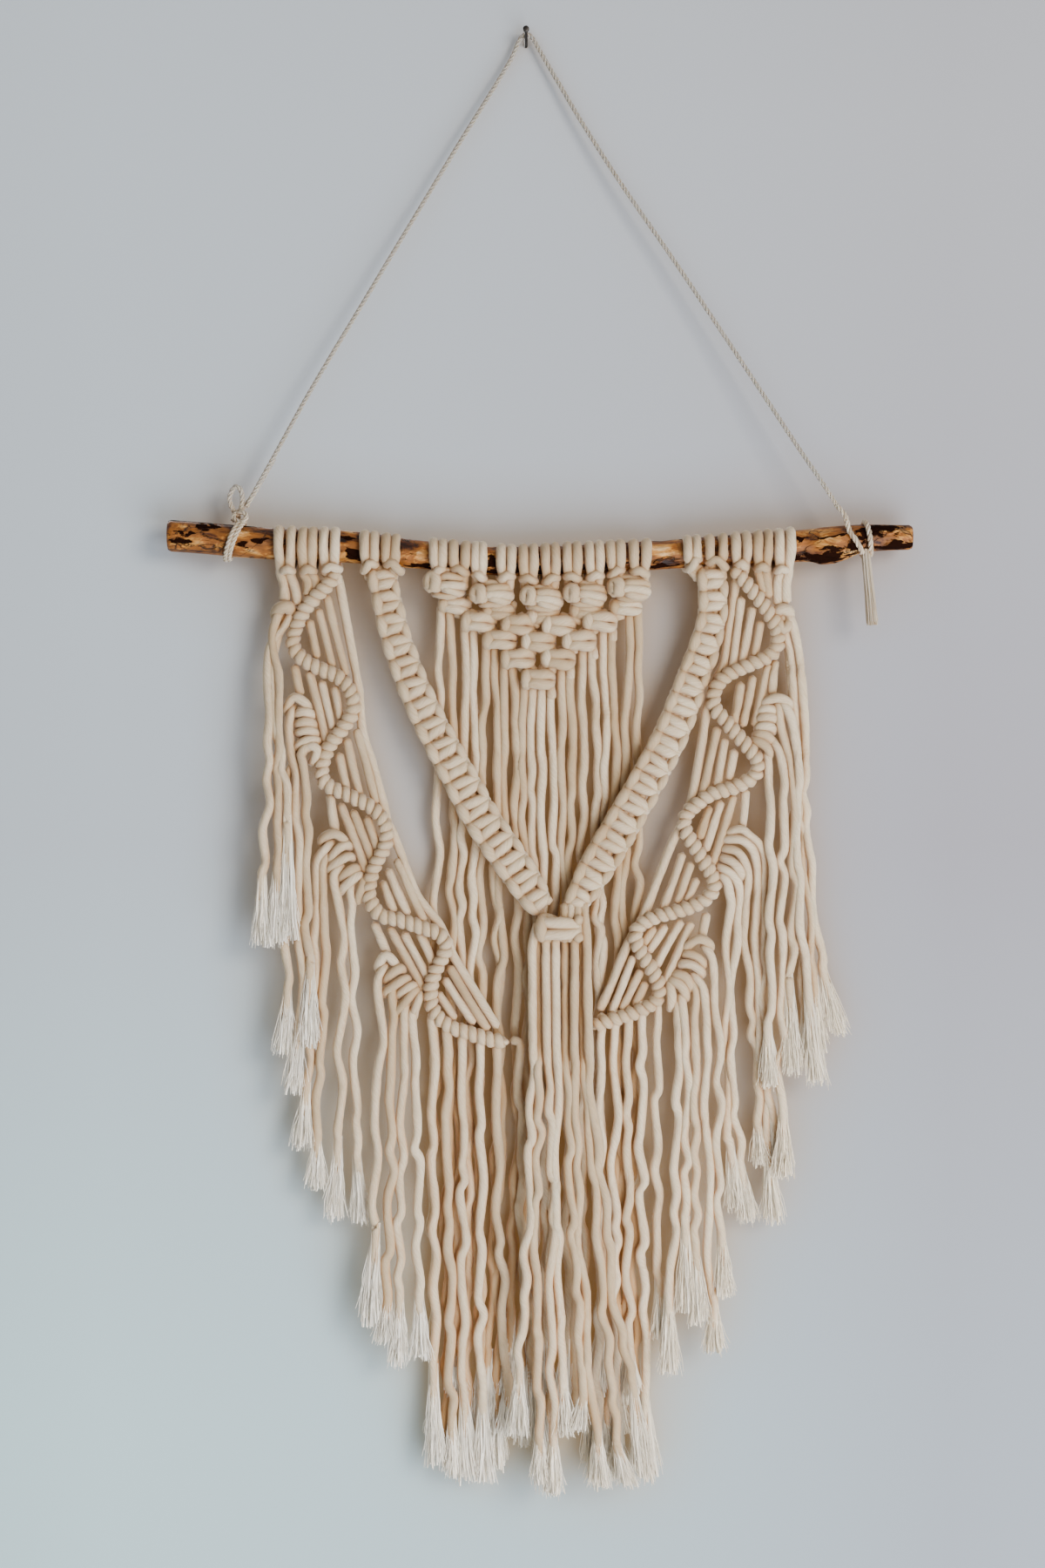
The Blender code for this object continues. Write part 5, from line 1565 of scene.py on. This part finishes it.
def make_branch():
    """The stick: uneven round, its ends cut square, a little thicker where bark is left."""
    model = bmesh.new()
    bark_and_shade = model.verts.layers.float.new("bark_and_shade")
    first, last = BRANCH[0].x, BRANCH[-1].x
    rings = []
    line = smooth_through([(s.x, s.z, s.radius) for s in BRANCH], CURVE_STEPS)
    for k in range(BRANCH_RINGS + 1):
        x = first + (last - first) * k / BRANCH_RINGS
        i = max(j for j in range(len(line) - 1) if line[j][0] <= x + 1e-9)
        t = (x - line[i][0]) / (line[i + 1][0] - line[i][0])
        z, radius = (a + (b - a) * t for a, b in zip(line[i][1:], line[i + 1][1:]))
        radius -= max(END_BEVEL - min(x - first, last - x), 0.0)
        ring = []
        for j in range(BRANCH_SIDES):
            turn = 2 * math.pi * j / BRANCH_SIDES
            cy, cz = math.cos(turn), math.sin(turn)
            broad = noise.noise(Vector((x * 0.018, cy * 0.9, cz * 0.9)))
            fine = noise.noise(Vector((x * 0.06, cy * 3.0, cz * 3.0)))
            dark_patch_share = bark_and_shade_at(x, math.degrees(turn), cy, cz)
            reach = radius * (1 + 0.05 * broad) + 0.22 * fine + BARK_THICK * (dark_patch_share > 0.5)
            vert = model.verts.new((x * MM, (BRANCH_Y - reach * cy) * MM, (z + reach * cz) * MM))
            vert[bark_and_shade] = dark_patch_share
            ring.append(vert)
        rings.append(ring)
    join_rings(model, rings)
    for ring in (rings[0], rings[-1]):
        centre = model.verts.new(sum((v.co for v in ring), Vector()) / BRANCH_SIDES)
        for here, there in zip(ring, ring[1:] + ring[:1]):
            model.faces.new((here, there, centre))
    dress(turn_out("branch_wood", model, MATERIALS["wood"]), "branch_wood", "branch")


def plied(points, ply_r, pitch):
    """The plies of a twine twisted round a line of points."""
    line = [Vector(point) for point in smooth_through(points, TWINE_STEPS)]
    lengths = [0.0]
    for here, there in zip(line, line[1:]):
        lengths.append(lengths[-1] + (there - here).length)
    total = lengths[-1]
    count = int(total / PLY_STEP)
    cords = [[] for _ in range(PLIES)]
    i = 0
    for k in range(count + 1):
        s = total * k / count
        while i < len(line) - 2 and lengths[i + 1] < s:
            i += 1
        t = (s - lengths[i]) / (lengths[i + 1] - lengths[i])
        centre = line[i].lerp(line[i + 1], t)
        way = (line[i + 1] - line[i]).normalized()
        side = way.cross(Vector((0, 1, 0)))
        if side.length <= 0.2:
            side = way.cross(Vector((0, 0, 1)))
        side.normalize()
        other = way.cross(side)
        for ply, cord in enumerate(cords):
            angle = 2 * math.pi * (s / pitch + ply / PLIES)
            reach = ply_r * PLY_LOOSE
            cord.append(tuple(centre + (side * math.cos(angle) + other * math.sin(angle)) * reach))
    return [(cord, ply_r) for cord in cords]


def lay_twine(name, node, cords):
    return lay(name, cords, material="hanger", slot="hanger_cotton", spacing=0.9, sides=7, flatness=0.0,
               unevenness=0.3, node=node)


def make_hanger():
    """The hanging cord, the hitch and the short doubled end at its left, the tie and tail at its right."""
    cord = lay_twine("hanging_cord", "hanger_cord", plied(HANGER_ROUTE, 0.64, 8.5))
    route = [tuple(value * MM for value in point) for point in smooth_through(HANGER_ROUTE, ROUTE_STEPS)]
    length = sum(math.dist(a, b) for a, b in zip(route, route[1:]))

    ring = [round_branch(turn.x, turn.angle, turn.reach) for turn in HITCH_RING]
    plies = [ply for line in (ring, HITCH_KNOT, HITCH_LOOP) for ply in plied(line, 0.7, 8.5)]
    hitch = lay_twine("left_hitch", "hanger_hitch_left", plies)
    wraps = TIE_START + [round_branch(turn.x, turn.angle, turn.reach) for turn in TIE_WRAPS]
    tie = lay_twine("right_tie", "hanger_tie_right", plied(wraps, 0.76, 9.0))

    tail = run_tree("right_tie_end", BRUSH_TREE, [(TIE_TAIL, 2.7)], fibres=150, fibre_radius=0.32 * MM,
                    spread=0.32, waviness=1.2 * MM, shortest=0.94, tip=0.9, seed=9,
                    material=MATERIALS["hanger"])
    dress(tail, "hanger_cotton")
    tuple(route[0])


def make_nail():
    """A wire nail turned about its own line, with a low domed head."""
    model = bmesh.new()
    rings = []
    for depth, radius in NAIL_PROFILE:
        ring = []
        for j in range(NAIL_SIDES):
            turn = 2 * math.pi * j / NAIL_SIDES
            x, z = radius * math.cos(turn), radius * math.sin(turn) + NAIL_RISE * depth
            ring.append(model.verts.new((x * MM, -depth * MM, z * MM)))
        rings.append(ring)
    join_rings(model, rings)
    bmesh.ops.remove_doubles(model, verts=model.verts, dist=SEAM_GAP)
    dress(turn_out("wire_nail", model, MATERIALS["steel"]), "nail_steel", "nail")


# ---------------------------------------------------------------- camera, light and stage


def make_camera():
    data = bpy.data.cameras.new("camera")
    data.lens = 64.2
    data.sensor_width = 36.0
    camera = bpy.data.objects.new("camera", data)
    bpy.context.scene.collection.objects.link(camera)
    camera.location = CAMERA_PLACE
    camera.rotation_euler = (math.radians(90), 0, 0)
    bpy.context.scene.camera = camera


def area_light(name, place, size, power, colour):
    data = bpy.data.lights.new(name, "AREA")
    data.shape = "DISK"
    data.size = size
    data.energy = power
    data.color = linear(colour)[:3]
    light = bpy.data.objects.new(name, data)
    light.location = place
    light.rotation_euler = (Vector(LIGHTS_AIM) - light.location).to_track_quat("-Z", "Y").to_euler()
    bpy.context.scene.collection.objects.link(light)
    return light


def plane(name, corners, material):
    mesh = bpy.data.meshes.new(name)
    mesh.from_pydata(corners, [], [(0, 1, 2, 3)])
    mesh.materials.append(material)
    obj = bpy.data.objects.new(name, mesh)
    bpy.context.scene.collection.objects.link(obj)
    obj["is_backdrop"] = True


def wall_material():
    """Pale plaster, painted lighter and cooler at the left and darker and greyer at the right as the light
    falls, with warm shade painted near the cords, and clear from behind so that the back of the piece can
    be looked at."""
    made, tree, shader = new_material("pale_backdrop", {"Roughness": 0.95})
    place = add(tree, "ShaderNodeTexCoord")
    parts = add(tree, "ShaderNodeSeparateXYZ", {0: place.outputs["Object"]})
    height = parts.outputs["Z"]
    # Painted light and shade: lighter and bluer at the left, darker and greyer at the right, changing with
    # height
    down = add(tree, "ShaderNodeMapRange", {"Value": height, "From Min": 0.0, "From Max": -0.8})
    left = add(tree, "ShaderNodeValToRGB", {0: down},
               stops=((0.06, "D8E5F1"), (0.54, "CEDBE6"), (0.94, "D7F8FF")))
    right = add(tree, "ShaderNodeValToRGB", {0: down},
                stops=((0.06, "C3C7D0"), (0.54, "AEAEB7"), (0.94, "AFB9C3")))
    across = add(tree, "ShaderNodeMapRange",
                 {"Value": parts.outputs["X"], "From Min": -0.23, "From Max": 0.23})
    shade = add(tree, "ShaderNodeMix", {0: across, 6: left, 7: right}, data_type="RGBA")
    # Painted shade: where the cords shelter the wall it is painted a warm deep colour, lighter towards the
    # bottom
    wall_nook_shade = add(tree, "ShaderNodeAmbientOcclusion", {"Distance": 0.05}, samples=2)
    lower = add(tree, "ShaderNodeMapRange",
                {"Value": height, "From Min": SHADE_LIGHTER_FROM * MM, "From Max": SHADE_LIGHTER_TO * MM})
    painted_warm_shade = add(tree, "ShaderNodeMix", {0: lower, 6: "B08C56", 7: "CBA56C"}, data_type="RGBA")
    wall_with_painted_shade = add(tree, "ShaderNodeMix", {0: wall_nook_shade.outputs["AO"], 6: painted_warm_shade, 7: shade}, data_type="RGBA")
    tree.links.new(wall_with_painted_shade.outputs[2], shader.inputs["Base Color"])
    side = add(tree, "ShaderNodeNewGeometry")
    clear = add(tree, "ShaderNodeBsdfTransparent")
    seen = add(tree, "ShaderNodeMixShader", {0: side.outputs["Backfacing"], 1: shader, 2: clear})
    tree.links.new(seen.outputs[0], tree.nodes["Material Output"].inputs["Surface"])
    return made


def make_stage():
    """Backdrop and floor, a warm key light from the right and a cool fill from below, and a light behind
    that reaches the piece alone."""
    floor, _, _ = new_material("pale_plaster", {"Base Color": linear("C3C8CC"), "Roughness": 0.95})
    wall = wall_material()
    plane("backdrop", [(-3, 0.0005, -1.3), (3, 0.0005, -1.3), (3, 0.0005, 1.7), (-3, 0.0005, 1.7)], wall)
    plane("floor", [(-6, -6, -1.3), (6, -6, -1.3), (6, 6, -1.3), (-6, 6, -1.3)], floor)

    area_light("key", (1.4, -2.0, 0.15), 1.1, 37.5, "FFF6EA")
    area_light("fill", (0.5, -0.85, -0.95), 1.0, 11.8, "F2F6FF")
    back = area_light("back", (-0.9, 2.0, 0.5), 1.6, 40.0, "FFFFFF")
    lit = bpy.data.collections.new("lit from behind")
    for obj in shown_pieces():
        lit.objects.link(obj)
    back.light_linking.receiver_collection = lit
    back.light_linking.blocker_collection = lit

    world = bpy.data.worlds.new("studio")
    world.use_nodes = True
    sky = world.node_tree.nodes["Background"]
    sky.inputs["Color"].default_value = linear("E6E2DC")
    sky.inputs["Strength"].default_value = 0.48
    bpy.context.scene.world = world


make_camera()
make_hanger()
make_nail()
make_branch()
make_headings()
make_panels()
make_sennits()
make_net()
make_fringes()
make_stage()
